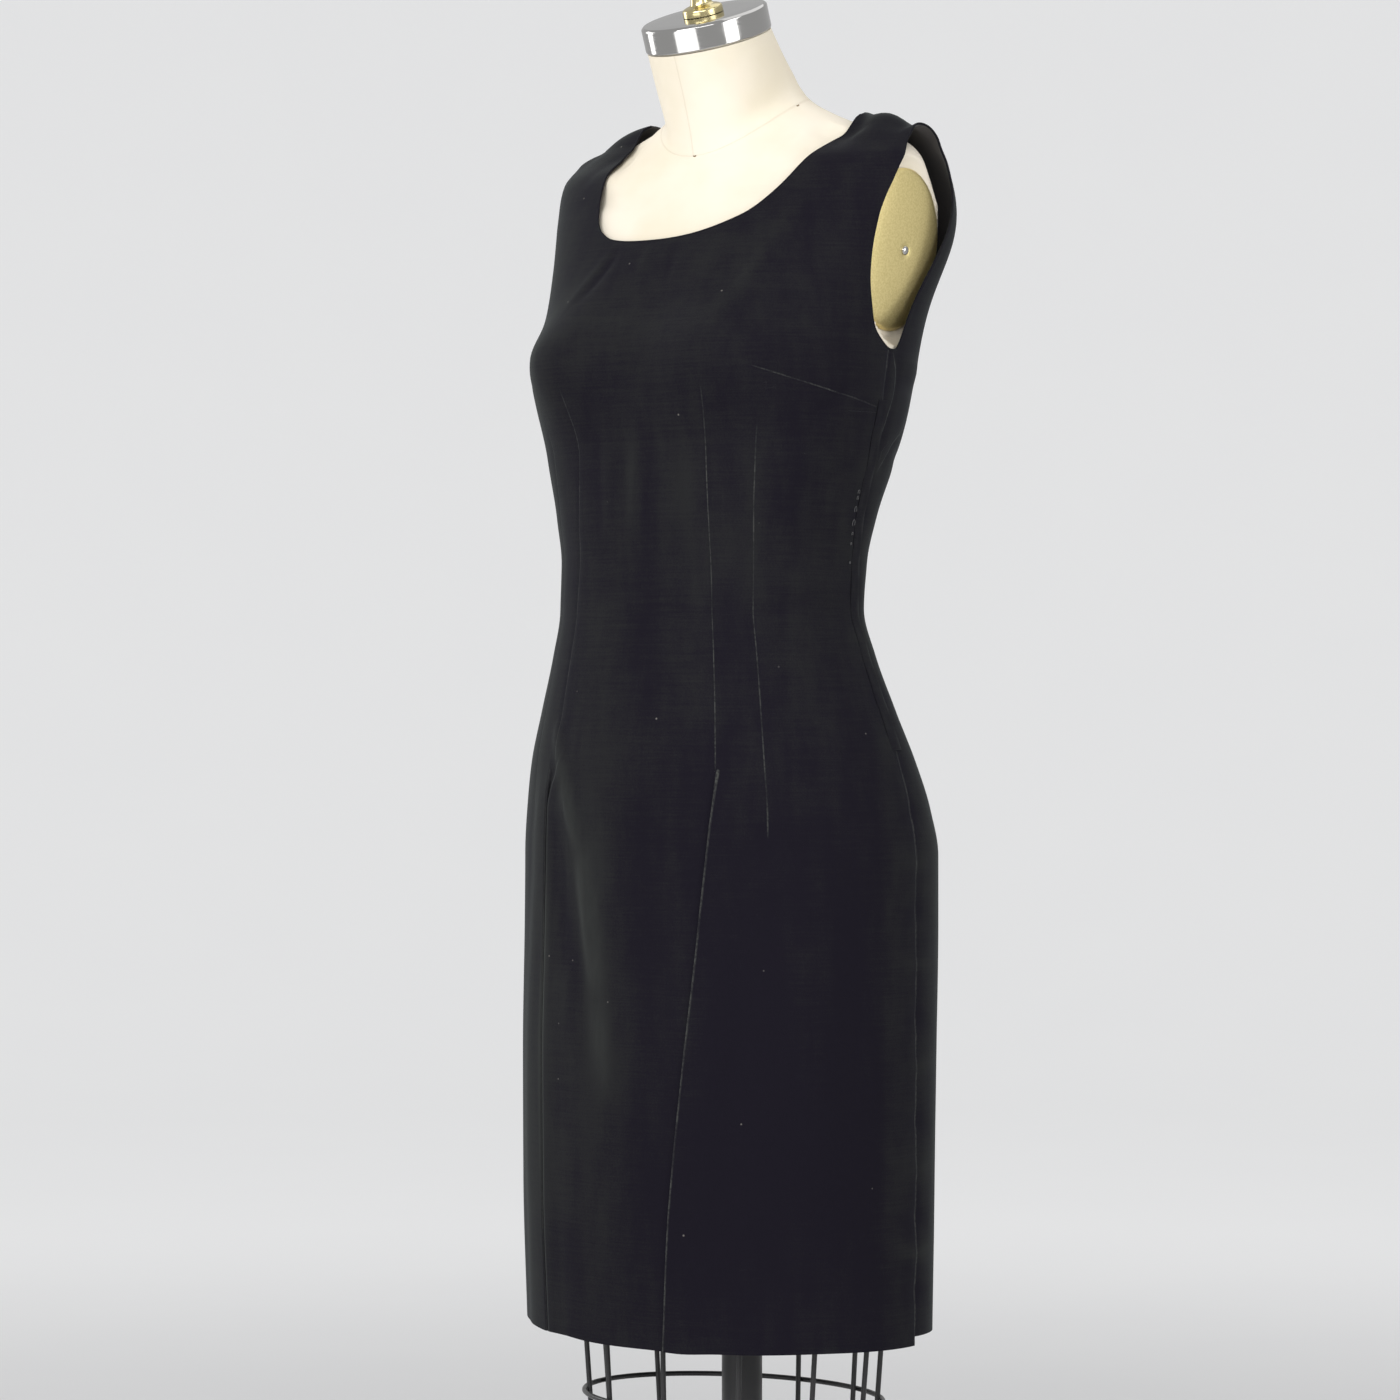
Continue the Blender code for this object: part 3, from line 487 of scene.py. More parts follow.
def dart_field(angle, z, darts):
    """Signed distance in millimetres to the nearest dart's seam, and how far the seam shows."""
    points = np.stack([angle.ravel() * ARC, z.ravel()], 1)
    best, ranks = np.full(len(points), FAR), np.full(len(points), FAR_RANK)
    shown = np.zeros(len(points))
    for dart, strength in darts:
        line = curve_through(to_cloth(dart))
        for end, beside in ((0, 1), (-1, -2)):
            away = line[end] - line[beside]
            past = line[end] + away / np.linalg.norm(away) * DART_RUN_OUT
            line = np.vstack([past, line]) if end == 0 else np.vstack([line, past])
        length = np.linalg.norm(np.diff(line, axis=0), axis=1).sum()
        reach = (points[:, 1] > line[:, 1].min()) & (points[:, 1] < line[:, 1].max())
        distance, way = nearest_on_line(points[reach], line)
        from_end = np.minimum(way, 1 - way) * length - DART_RUN_OUT
        shows = strength * smooth_step(from_end / DART_FADE) * (np.abs(distance) < DART_REACH)
        rank = np.abs(distance) * 1000 + np.where(shows > 0, 0.0, 50.0)
        nearer = rank < ranks[reach]
        ranks[reach] = np.where(nearer, rank, ranks[reach])
        best[reach] = np.where(nearer, distance * 1000, best[reach])
        shown[reach] = np.where(nearer, shows, shown[reach])
    return best.reshape(angle.shape), shown.reshape(angle.shape)


def dart_rise(field, shown):
    return -DART_DEPTH * shown * np.exp(-((field / DART_HALF_WIDTH) ** 2))


# Painted sheen and shade, partly where the pile lies another way: lighter or darker patches as (degrees,
# height, half degrees, half height, nap_and_sheen)
NAP_AND_SHEEN_COLUMNS = ("degrees", "z", "half_degrees", "half_z", "nap_and_sheen")
FRONT_NAP_AND_SHEEN = (
    (-106.0, 0.830, 13.0, 0.110, 2.2),
    (-100.0, 0.700, 10.0, 0.090, 1.0),
    (-121.0, 0.700, 5.0, 0.160, 1.2),
    (-125.2, 0.720, 1.5, 0.150, 3.2),
    (-131.0, 0.760, 5.0, 0.180, 1.2),
    (-84.0, 0.780, 6.0, 0.150, -1.6),
    (-80.0, 0.600, 9.0, 0.080, -1.2),
    (-58.0, 0.640, 18.0, 0.200, -2.4),
    (-38.0, 0.700, 18.0, 0.220, -2.6),
    (-18.0, 0.640, 12.0, 0.200, -2.2),
    (-9.0, 0.760, 3.0, 0.120, 1.6),
    (-9.0, 0.560, 3.0, 0.060, 1.4),
    (-62.0, 0.900, 8.0, 0.060, -1.0),
    (-102.0, 1.250, 15.0, 0.024, 1.5),
    (-64.0, 1.240, 9.0, 0.022, 1.1),
    (-48.0, 1.272, 7.0, 0.022, 1.2),
    (-40.0, 1.330, 6.0, 0.020, -1.0),
    (-96.0, 1.130, 5.0, 0.055, 1.2),
    (-86.0, 1.120, 4.0, 0.055, -1.2),
    (-70.0, 1.110, 5.0, 0.060, 0.8),
    (-30.0, 1.120, 8.0, 0.060, -0.9),
    (-118.0, 1.010, 9.0, 0.040, -0.9),
    (-92.0, 1.000, 12.0, 0.030, -0.8),
)
BACK_NAP_AND_SHEEN = (
    (60.0, 1.260, 12.0, 0.040, 1.2),
    (118.0, 1.250, 12.0, 0.040, 1.0),
    (90.0, 1.120, 8.0, 0.080, -1.2),
    (70.0, 0.800, 8.0, 0.120, 1.6),
    (110.0, 0.740, 9.0, 0.130, 1.3),
    (90.0, 0.640, 9.0, 0.080, -1.2),
    (30.0, 0.720, 7.0, 0.140, 1.0),
    (150.0, 0.720, 7.0, 0.140, 0.9),
)


def nap_and_sheen_marks(angle, z, rows):
    """Soft lighter and darker marks: painted sheen and shade, partly pile brushed another way."""
    marks = np.zeros(angle.shape)
    for row in rows:
        mark = dict(zip(NAP_AND_SHEEN_COLUMNS, row))
        across = (np.degrees(angle) - mark["degrees"]) / mark["half_degrees"]
        up = (z - mark["z"]) / mark["half_z"]
        marks += mark["nap_and_sheen"] * np.exp(-(across**2) - up**2)
    return marks


# Each panel's darts and side folds, with how clearly each one's seam shows
DARTS = {
    "front": (
        (INNER_DART, 1.0),
        (mirrored(INNER_DART), 0.40),
        (OUTER_DART, 0.85),
        (mirrored(OUTER_DART), 0.35),
        (BUST_DART, 0.90),
        (mirrored(BUST_DART), 0.50),
    ),
    "back": tuple(
        (line, 0.9)
        for line in (
            BACK_DART,
            mirrored(BACK_DART),
            *ZIP_SIDE_FOLDS,
            *(mirrored(fold) for fold in ZIP_SIDE_FOLDS),
        )
    ),
}
CREASES = {"front": FRONT_CREASES, "back": BACK_CREASES}
NAP_AND_SHEEN = {"front": FRONT_NAP_AND_SHEEN, "back": BACK_NAP_AND_SHEEN}

# Rises of the hem, as (degrees, half degrees, rise)
HEM_RISES = {
    "front": (
        (-152.0, 30.0, 0.0060),
        (-118.0, 8.0, 0.0008),
        (-70.0, 6.0, -0.0010),
        (-30.0, 14.0, 0.0008),
    ),
    "back": (
        (4.0, 46.0, 0.0068),
        (88.0, 10.0, -0.0015),
        (120.0, 12.0, 0.0016),
        (170.0, 26.0, 0.0050),
    ),
}
HEM_RISE_REACH = 0.060


def hem_rise(angle, z, panel):
    """How far the cloth near the hem is drawn up."""
    rise = np.zeros(angle.shape)
    for degrees, half, height in HEM_RISES[panel]:
        rise += height * np.exp(-(((np.degrees(angle) - degrees) / half) ** 2))
    return rise * (1 - smooth_step((z - HEM_Z) / HEM_RISE_REACH))


# ---------------------------------------------------------------- cloth grids


def fold_path(depth, stack, swell):
    """Cloth through one knife pleat as (along, out), from the side panel to the centre panel."""
    turn = stack / 4
    rise = [
        (depth + PLEAT_FALL * share, 0.8 * stack * (1.0 - float(smooth_step(share))))
        for share in (1.0, 0.75, 0.5, 0.25)
    ]
    rise += [
        (depth * share, stack * (1.0 - 0.2 * share))
        for share in (1.0, 0.8, 0.6, 0.42, 0.26, 0.13, 0.05)
    ]
    bend = [
        (-turn * sin(pi * k / 6), 0.75 * stack + turn * cos(pi * k / 6)) for k in range(1, 6)
    ]
    shared = [(depth * share, stack * (0.5 - 0.18 * share)) for share in (0.0, 0.33, 0.67, 1.0)]
    under = [
        (depth + turn * sin(pi * k / 6), 0.07 * stack + turn * cos(pi * k / 6))
        for k in range(1, 6)
    ]
    out = [(depth * share, stack * (-0.1 - 0.08 * share)) for share in (1.0, 0.6, 0.3)]
    return rise + [(0.0, stack)] + bend + shared + under + out + [(a, b * stack) for a, b in swell]


def pleat_stations(z, pleat):
    """The (angle, out) of each point of a pleat at one height, from side panel to centre."""
    rows = table(pleat["rows"], PLEAT_COLUMNS)
    edge_x = float(along(rows["z"], rows["edge_x"], z))
    depth = float(along(rows["z"], rows["depth"], z))
    measured_z = min(z, rows["z"][-1])
    edge = angle_at(edge_x, measured_z)
    radius = float(dress_radius(edge, measured_z))
    side = 1.0 if edge_x > 0 else -1.0
    folded = np.array(fold_path(depth, PLEAT_STACK, pleat["swell"]))
    flat = np.zeros_like(folded)
    flat[:PLEAT_CREST, 0] = folded[:PLEAT_CREST, 0]
    flat[PLEAT_CREST:, 0] = np.linspace(0.0, folded[-1, 0], len(folded) - PLEAT_CREST)
    opened = smooth_step((PLEAT_RELEASE_Z - z) / PLEAT_BLEND)
    path = (1 - opened) * flat + opened * folded
    return [(edge + side * t / radius, out) for t, out in path]


def spread(start, end, count):
    return list(np.linspace(start, end, count + 2)[1:-1])


SIDE_STATIONS, CENTRE_STATIONS, BACK_STATIONS = ((36, 36, 130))
ROW_STEP = 0.0042


def row_heights():
    """Heights of the grid's rows, closer together where the shoulder turns over."""
    fine = np.linspace(HEM_Z, TOP_Z, 4000)
    width = along(DRESS["z"], DRESS["half_width"], fine)
    length = np.concatenate([[0.0], np.cumsum(np.hypot(np.diff(fine), np.diff(width)))])
    count = int(round(length[-1] / ROW_STEP))
    return np.interp(np.linspace(0, length[-1], count + 1), length, fine)


def front_params(z):
    left = pleat_stations(z, LEFT_PLEAT)
    right = pleat_stations(z, RIGHT_PLEAT)[::-1]
    seam = 0.5 * SEAM_GAP / float(dress_radius(0.0, z))
    stations = [(-seam, 0.0)]
    stations += [(a, 0.0) for a in spread(-seam, left[0][0], SIDE_STATIONS)] + left
    stations += [(a, 0.0) for a in spread(left[-1][0], right[0][0], CENTRE_STATIONS)] + right
    stations += [(a, 0.0) for a in spread(right[-1][0], seam - pi, SIDE_STATIONS)]
    stations += [(seam - pi, 0.0)]
    return np.array(stations)


def back_params(z):
    seam = 0.5 * SEAM_GAP / float(dress_radius(0.0, z))
    angles = np.linspace(pi - seam, seam, BACK_STATIONS)
    return np.stack([angles, np.zeros(BACK_STATIONS)], 1)


def inside(points, outline):
    """Which flat points lie inside a closed outline."""
    x, y = points[:, 0], points[:, 1]
    found = np.zeros(len(points), bool)
    a, b = outline, np.roll(outline, -1, 0)
    for (x0, y0), (x1, y1) in zip(a, b):
        if y0 != y1:
            crosses = (y0 > y) != (y1 > y)
            found ^= crosses & (x < (x1 - x0) * (y - y0) / (y1 - y0) + x0)
    return found


NECKS = {"front": curve_through(FRONT_NECKLINE), "back": curve_through(BACK_NECKLINE)}
ARM = curve_through(ARMHOLE, closed=True)


def depth_in(flat, line, closing=()):
    """Signed distance into an outline, given by a line and the points that close it."""
    near = np.full(len(flat), 9.0)
    for p, q in zip(line[:-1], line[1:]):
        step = q - p
        share = np.clip(((flat - p) @ step) / (step @ step), 0, 1)
        near = np.minimum(near, np.linalg.norm(flat - p - share[:, None] * step, axis=1))
    within = inside(flat, np.vstack([line, closing]) if len(closing) else line)
    return np.where(within, near, -near)


def neck_depth(flat, panel):
    """How deep a place (x, z) lies in the front or back neck's opening."""
    neck = NECKS[panel]
    return depth_in(flat, neck, np.array([[neck[-1, 0], 2.0], [neck[0, 0], 2.0]]))


CUTS_LOW_Z = 1.20
ARMHOLE_FROM_X = 0.1


def cut_depth(angle, z, panel):
    """How deep each place lies in the neck's or an armhole's cut, below 0 where cloth stays."""
    place = dress_point(angle, z)
    depth = np.full(len(place), -1.0)
    high = place[:, 2] > CUTS_LOW_Z
    top = place[high]
    cut = neck_depth(top[:, [0, 2]], panel)
    arm = depth_in(top[:, [1, 2]], np.vstack([ARM, ARM[:1]]))
    depth[high] = np.maximum(cut, np.where(np.abs(top[:, 0]) > ARMHOLE_FROM_X, arm, -1.0))
    return depth


SNAP_TO_CUT = 2e-4


def clip(angle, z, panel):
    """The cells left outside the cuts, as corner lists, and the points added along the cuts.

    Each added point is (first corner, second corner, share of the way).
    """
    rows, columns = angle.shape
    a, h = angle.ravel(), z.ravel()
    depth = cut_depth(a, h, panel)
    depth[np.abs(depth) < SNAP_TO_CUT] = 0.0
    stays = depth <= 0
    i, j = np.meshgrid(np.arange(rows - 1), np.arange(columns - 1), indexing="ij")
    start = (i * columns + j).ravel()
    cells = np.stack([start, start + 1, start + columns + 1, start + columns], 1)
    kept = stays[cells].sum(1)
    faces = [tuple(cell) for cell in cells[kept == 4]]
    crossed = cells[(kept > 0) & (kept < 4)]
    pairs = set()
    for cell in crossed:
        for p, q in zip(cell, np.roll(cell, -1)):
            if stays[p] != stays[q] and depth[p] != 0 and depth[q] != 0:
                pairs.add((min(p, q), max(p, q)))
    pairs = np.array(sorted(pairs), int).reshape(-1, 2)
    share = depth[pairs[:, 0]] / (depth[pairs[:, 0]] - depth[pairs[:, 1]])
    low, high = np.zeros(len(pairs)), np.ones(len(pairs))
    first, second = pairs[:, 0], pairs[:, 1]
    for _ in range(12):
        angle_here = a[first] + share * (a[second] - a[first])
        here = cut_depth(angle_here, h[first] + share * (h[second] - h[first]), panel)
        same = (here > 0) == (depth[first] > 0)
        low, high = np.where(same, share, low), np.where(same, high, share)
        share = (low + high) / 2
    number = {tuple(pair): rows * columns + k for k, pair in enumerate(pairs.tolist())}
    for cell in crossed.tolist():
        corners = []
        for p, q in zip(cell, cell[1:] + cell[:1]):
            if stays[p]:
                corners.append(p)
            found = number.get((min(p, q), max(p, q)))
            if found is not None:
                corners.append(found)
        if len(corners) > 2:
            faces.append(tuple(corners))
    return faces, pairs, share


def grow(values, pairs, share):
    """Grid values with those of the added points after them."""
    flat = values.reshape(-1, *values.shape[2:])
    share = share.reshape(-1, *[1] * (flat.ndim - 1))
    return np.concatenate([flat, flat[pairs[:, 0]] * (1 - share) + flat[pairs[:, 1]] * share])


def grid_normals(grid):
    normal = np.cross(np.gradient(grid, axis=1), np.gradient(grid, axis=0))
    return normal / np.maximum(np.linalg.norm(normal, axis=2, keepdims=True), 1e-12)


def shell(name, middle, normal, faces, thickness, fields=None):
    """A thin closed shell over faces of middle points."""
    count = len(middle)
    sides = {}
    for face in faces:
        for p, q in zip(face, face[1:] + face[:1]):
            sides[(p, q)] = sides.get((p, q), 0) + 1
    rim = [(p, q) for p, q in sides if (q, p) not in sides]
    every = list(faces) + [tuple(p + count for p in face[::-1]) for face in faces]
    every += [(q, p, p + count, q + count) for p, q in rim]
    points = np.concatenate([middle + normal * thickness / 2, middle - normal * thickness / 2])
    used = np.zeros(len(points), bool)
    for face in every:
        used[list(face)] = True
    renumber = np.cumsum(used) - 1
    every = [tuple(int(renumber[p]) for p in face) for face in every]
    mesh = bpy.data.meshes.new(name)
    mesh.from_pydata(points[used].tolist(), [], every)
    layers = {label: np.concatenate([values, values]) for label, values in (fields or {}).items()}
    layers["inner_side"] = np.concatenate([np.ones(count), np.zeros(count)])
    for label, values in layers.items():
        layer = mesh.attributes.new(label, "FLOAT", "POINT")
        layer.data.foreach_set("value", values[used].astype(np.float32))
    mesh.shade_smooth()
    mesh.set_sharp_from_angle(angle=radians(60))
    mesh.update()
    made = bpy.data.objects.new(name, mesh)
    bpy.context.scene.collection.objects.link(made)
    return made


def link(name, points, faces):
    mesh = bpy.data.meshes.new(name)
    mesh.from_pydata([tuple(p) for p in points], [], [tuple(f) for f in faces])
    mesh.shade_smooth()
    mesh.set_sharp_from_angle(angle=radians(35))
    made = bpy.data.objects.new(name, mesh)
    bpy.context.scene.collection.objects.link(made)
    return made


def ring_faces(rings, points, closed=False):
    """Quads between each ring of points and the next."""
    faces = []
    for k in range(rings if closed else rings - 1):
        here, there = k * points, (k + 1) % rings * points
        for i in range(points):
            j = (i + 1) % points
            faces.append((here + i, here + j, there + j, there + i))
    return faces


def capped_faces(rings, points):
    """The same, with the first and last rings filled."""
    low = tuple(range(points))[::-1]
    high = tuple(range((rings - 1) * points, rings * points))
    return [low, *ring_faces(rings, points), high]


def tube(name, points, radius, closed=False, around=8):
    """A round tube along a run of points, with flat ends unless it is closed."""
    p = np.array(points, float)
    ahead = np.roll(p, -1, 0) - np.roll(p, 1, 0)
    if not closed:
        ahead[0], ahead[-1] = p[1] - p[0], p[-1] - p[-2]
    ahead /= np.linalg.norm(ahead, axis=1, keepdims=True)
    up = np.array([0.0, 0.0, 1.0])
    if abs(ahead[0] @ up) > 0.9:
        up = np.array([1.0, 0.0, 0.0])
    rings = []
    side = np.cross(ahead[0], up)
    for k in range(len(p)):
        side = side - (side @ ahead[k]) * ahead[k]
        side /= np.linalg.norm(side)
        over = np.cross(ahead[k], side)
        turn = np.arange(around) * 2 * pi / around
        rings.append(p[k] + radius * (np.cos(turn)[:, None] * side + np.sin(turn)[:, None] * over))
    faces = ring_faces(len(p), around, True) if closed else capped_faces(len(p), around)
    return link(name, np.concatenate(rings), faces)


# ---------------------------------------------------------------- materials


def new_material(name, colour, roughness, **inputs):
    made = bpy.data.materials.new(name)
    made.use_nodes = True
    shader = made.node_tree.nodes["Principled BSDF"]
    shader.inputs["Base Color"].default_value = (*colour, 1.0)
    shader.inputs["Roughness"].default_value = roughness
    for key, value in inputs.items():
        shader.inputs[key.replace("_", " ")].default_value = value
    return made, made.node_tree, shader


def noise(tree, scale, detail=3.0, roughness=0.5, stretch=(1, 1, 1)):
    """Procedural noise in the row's own coordinates."""
    where = tree.nodes.new("ShaderNodeTexCoord")
    mapping = tree.nodes.new("ShaderNodeMapping")
    mapping.inputs["Scale"].default_value = stretch
    tree.links.new(where.outputs["Object"], mapping.inputs["Vector"])
    made = tree.nodes.new("ShaderNodeTexNoise")
    made.inputs["Scale"].default_value = scale
    made.inputs["Detail"].default_value = detail
    made.inputs["Roughness"].default_value = roughness
    tree.links.new(mapping.outputs["Vector"], made.inputs["Vector"])
    return made.outputs["Fac"]


def map_range(tree, value, low, high, to_low, to_high):
    made = tree.nodes.new("ShaderNodeMapRange")
    made.interpolation_type = "SMOOTHSTEP"
    made.inputs["From Min"].default_value = low
    made.inputs["From Max"].default_value = high
    made.inputs["To Min"].default_value = to_low
    made.inputs["To Max"].default_value = to_high
    tree.links.new(value, made.inputs["Value"])
    return made.outputs["Result"]


def maths(tree, operation, a, b=None):
    made = tree.nodes.new("ShaderNodeMath")
    made.operation = operation
    for socket, value in zip(made.inputs, (a, b)):
        if value is None:
            continue
        if isinstance(value, (int, float)):
            socket.default_value = value
        else:
            tree.links.new(value, socket)
    return made.outputs["Value"]


def mix_colour(tree, share, first, second):
    made = tree.nodes.new("ShaderNodeMix")
    made.data_type = "RGBA"
    tree.links.new(share, made.inputs["Factor"])
    for socket, value in ((made.inputs["A"], first), (made.inputs["B"], second)):
        socket = [i for i in made.inputs if i.name == socket.name and i.type == "RGBA"][0]
        if isinstance(value, tuple):
            socket.default_value = (*value, 1.0)
        else:
            tree.links.new(value, socket)
    return [o for o in made.outputs if o.type == "RGBA"][0]


def bump(tree, shader, height, distance, strength=1.0, below=None):
    made = tree.nodes.new("ShaderNodeBump")
    made.inputs["Strength"].default_value = strength
    made.inputs["Distance"].default_value = distance
    tree.links.new(height, made.inputs["Height"])
    if below is not None:
        tree.links.new(below, made.inputs["Normal"])
    tree.links.new(made.outputs["Normal"], shader.inputs["Normal"])
    return made.outputs["Normal"]


def attribute(tree, name):
    made = tree.nodes.new("ShaderNodeAttribute")
    made.attribute_name = name
    return made.outputs["Fac"]


VELVET_DARK = (0.0072, 0.0062, 0.0106)
VELVET_MIDDLE = (0.0136, 0.0138, 0.0150)
# Painted sheen colour for ridges and the lighter patches
VELVET_RIDGE_SHEEN = (0.0270, 0.0290, 0.0280)
# Pale line colour: real seam marks along darts and side seams, and painted sheen along the pleats' fold
# crests
VELVET_SEAM_AND_SHEEN_LINE = (0.050, 0.052, 0.049)
# Lining colour of the inner face, painted much lighter to stand in for the light that barely reaches
# inside the dress
FACING_PAINTED_LIGHTER = (0.085, 0.079, 0.079)
LINT = (0.16, 0.15, 0.14)


def velvet_material(name, with_lines):
    """Cotton velvet, mottled dark violet to grey-green at random, with painted sheen on ridges and fold
    crests, painted shade in creases, and a lining painted lighter on the inner face.
    """
    made, tree, shader = new_material(
        name,
        (0.0090, 0.0082, 0.0122),
        0.85,
        Specular_IOR_Level=0.05,
        Sheen_Weight=0.115,
        Sheen_Roughness=0.36,
        Sheen_Tint=(0.74, 0.82, 0.78, 1.0),
    )
    wide = noise(tree, 15.0, 3.0, 0.55, (1.0, 1.0, 0.4))
    streaks = noise(tree, 70.0, 3.0, 0.6, (1.0, 1.0, 0.25))
    threads = noise(tree, 26.0, 2.0, 0.6, (1.0, 1.0, 30.0))
    pile = noise(tree, 900.0, 2.0, 0.6)
    shade = maths(tree, "MULTIPLY", wide, 0.32)
    for part, weight in ((streaks, 0.22), (threads, 0.20), (pile, 0.26)):
        shade = maths(tree, "ADD", shade, maths(tree, "MULTIPLY", part, weight))
    height = maths(tree, "MULTIPLY", pile, 0.4)
    if with_lines:
        # nap_and_sheen: painted sheen where the cloth rises, painted shade where it sinks, and listed
        # painted patches, partly turned pile
        nap_and_sheen = attribute(tree, "nap_and_sheen")
        shade = maths(tree, "ADD", shade, maths(tree, "MULTIPLY", nap_and_sheen, 0.050))
    share = map_range(tree, shade, 0.38, 0.64, 0.0, 1.0)
    colour = mix_colour(tree, share, VELVET_DARK, VELVET_MIDDLE)
    if with_lines:
        # Painted highlight: ridges and lighter patches take the pale grey-green sheen colour
        painted_ridge_sheen = maths(tree, "MULTIPLY", map_range(tree, nap_and_sheen, 0.8, 4.2, 0.0, 1.2), streaks)
        colour = mix_colour(tree, painted_ridge_sheen, colour, VELVET_RIDGE_SHEEN)
        seam = map_range(tree, attribute(tree, "seam"), 0.5, 1.4, 0.6, 0.0)
        # Painted highlight along each pleat's fold crest
        fold = map_range(tree, attribute(tree, "fold"), 0.4, 1.7, 1.0, 0.0)
        near = maths(tree, "ABSOLUTE", attribute(tree, "dart"))
        dart = map_range(tree, near, 0.22, 0.75, 1.0, 0.0)
        dart = maths(tree, "MULTIPLY", dart, attribute(tree, "dart_shown"))
        line = maths(tree, "MAXIMUM", maths(tree, "MAXIMUM", seam, fold), dart)
        fine = map_range(tree, noise(tree, 420.0, 1.0), 0.38, 0.60, 0.35, 1.0)
        patchy = map_range(tree, noise(tree, 34.0, 2.0), 0.36, 0.62, 0.30, 1.0)
        lit = maths(tree, "MULTIPLY", maths(tree, "MULTIPLY", line, fine), patchy)
        colour = mix_colour(tree, lit, colour, VELVET_SEAM_AND_SHEEN_LINE)
        height = maths(tree, "SUBTRACT", height, line)
        # Inner face: lining colour painted lighter in place of the light that barely reaches it
        colour = mix_colour(tree, attribute(tree, "inner_side"), colour, FACING_PAINTED_LIGHTER)
    colour = mix_colour(tree, lint_specks(tree), colour, LINT)
    tree.links.new(colour, shader.inputs["Base Color"])
    bump(tree, shader, height, 0.0006, 0.5)
    return made


def lint_specks(tree):
    """A few tiny specks of lint caught in the pile."""
    where = tree.nodes.new("ShaderNodeTexCoord")
    cells = tree.nodes.new("ShaderNodeTexVoronoi")
    cells.inputs["Scale"].default_value = 75.0
    tree.links.new(where.outputs["Object"], cells.inputs["Vector"])
    near = map_range(tree, cells.outputs["Distance"], 0.030, 0.075, 1.0, 0.0)
    split = tree.nodes.new("ShaderNodeSeparateColor")
    tree.links.new(cells.outputs["Color"], split.inputs["Color"])
    few = map_range(tree, split.outputs["Red"], 0.93, 0.96, 0.0, 0.8)
    return maths(tree, "MULTIPLY", near, few)


def muslin_material():
    made, tree, shader = new_material(
        "muslin", (0.74, 0.67, 0.56), 0.85, Specular_IOR_Level=0.2, Sheen_Weight=0.08
    )
    weave = noise(tree, 1400.0, 2.0, 0.6, (1.0, 1.0, 1.6))
    stain = noise(tree, 14.0, 3.0)
    tone = map_range(tree, stain, 0.35, 0.7, 0.0, 1.0)
    colour = mix_colour(tree, tone, (0.745, 0.685, 0.580), (0.695, 0.632, 0.505))
    seam = None
    for label in ("centre_seam", "neck_seam"):
        near = maths(tree, "ABSOLUTE", attribute(tree, label))
        here = map_range(tree, near, 0.2, 0.9, 1.0, 0.0)
        seam = here if seam is None else maths(tree, "MAXIMUM", seam, here)
    colour = mix_colour(tree, maths(tree, "MULTIPLY", seam, 0.22), colour, (0.50, 0.43, 0.32))
    tree.links.new(colour, shader.inputs["Base Color"])
    height = maths(tree, "SUBTRACT", maths(tree, "MULTIPLY", weave, 0.3), seam)
    bump(tree, shader, height, 0.0004, 0.5)
    return made


def steel_material():
    made, tree, shader = new_material("brushed_steel", (0.49, 0.485, 0.475), 0.12, Metallic=1.0)
    lathe = noise(tree, 60.0, 3.0, 0.6, (1.0, 1.0, 30.0))
    rough = map_range(tree, lathe, 0.3, 0.7, 0.07, 0.15)
    tree.links.new(rough, shader.inputs["Roughness"])
    bump(tree, shader, lathe, 0.0001, 0.06)
    return made


def gold_material():
    made, tree, shader = new_material("gold_paint", (0.66, 0.56, 0.28), 0.40, Metallic=0.85)
    grain = noise(tree, 700.0, 2.0)
    share = map_range(tree, grain, 0.3, 0.7, 0, 1)
    colour = mix_colour(tree, share, (0.70, 0.58, 0.26), (0.80, 0.68, 0.33))
    tree.links.new(colour, shader.inputs["Base Color"])
    bump(tree, shader, grain, 0.0002, 0.2)
    return made


def worn_material(name, colour, roughness, scale, low, high, **inputs):
    """A hard finish whose gloss varies softly between two roughnesses."""
    made, tree, shader = new_material(name, colour, roughness, **inputs)
    rough = map_range(tree, noise(tree, scale), 0.3, 0.7, low, high)
    tree.links.new(rough, shader.inputs["Roughness"])
    return made


def thread_material(name, middle, dark, light):
    made, tree, shader = new_material(name, middle, 0.7)
    colour = mix_colour(tree, noise(tree, 1500.0), dark, light)
    tree.links.new(colour, shader.inputs["Base Color"])
    return made


def backdrop_material():
    """Pale grey paper, lit from behind away from the form."""
    made, tree, shader = new_material("backdrop", (0.645, 0.645, 0.650), 0.95, Specular_IOR_Level=0.1)
    glow = maths(tree, "MULTIPLY", attribute(tree, "glow"), 0.39)
    shader.inputs["Emission Color"].default_value = (0.985, 0.995, 1.0, 1.0)
    tree.links.new(glow, shader.inputs["Emission Strength"])
    grain = noise(tree, 3.0, 2.0)
    colour = mix_colour(tree, grain, (0.635, 0.635, 0.645), (0.655, 0.655, 0.660))
    tree.links.new(colour, shader.inputs["Base Color"])
    return made


# ---------------------------------------------------------------- the dress

VELVET = velvet_material("velvet", True)
PLAIN_VELVET = velvet_material("velvet_edge", False)
MUSLIN = muslin_material()
STEEL = steel_material()
GOLD = gold_material()
BRASS = worn_material("brass", (0.66, 0.57, 0.31), 0.24, 120.0, 0.16, 0.30, Metallic=1.0)
ENAMEL = worn_material("black_enamel", (0.014, 0.014, 0.015), 0.38, 60.0, 0.30, 0.45)
THREAD = thread_material("thread", (0.075, 0.075, 0.078), (0.05, 0.05, 0.052), (0.10, 0.10, 0.104))
BROWN_THREAD = thread_material("brown_thread", (0.16, 0.10, 0.04), (0.12, 0.08, 0.03), (0.24, 0.16, 0.07))


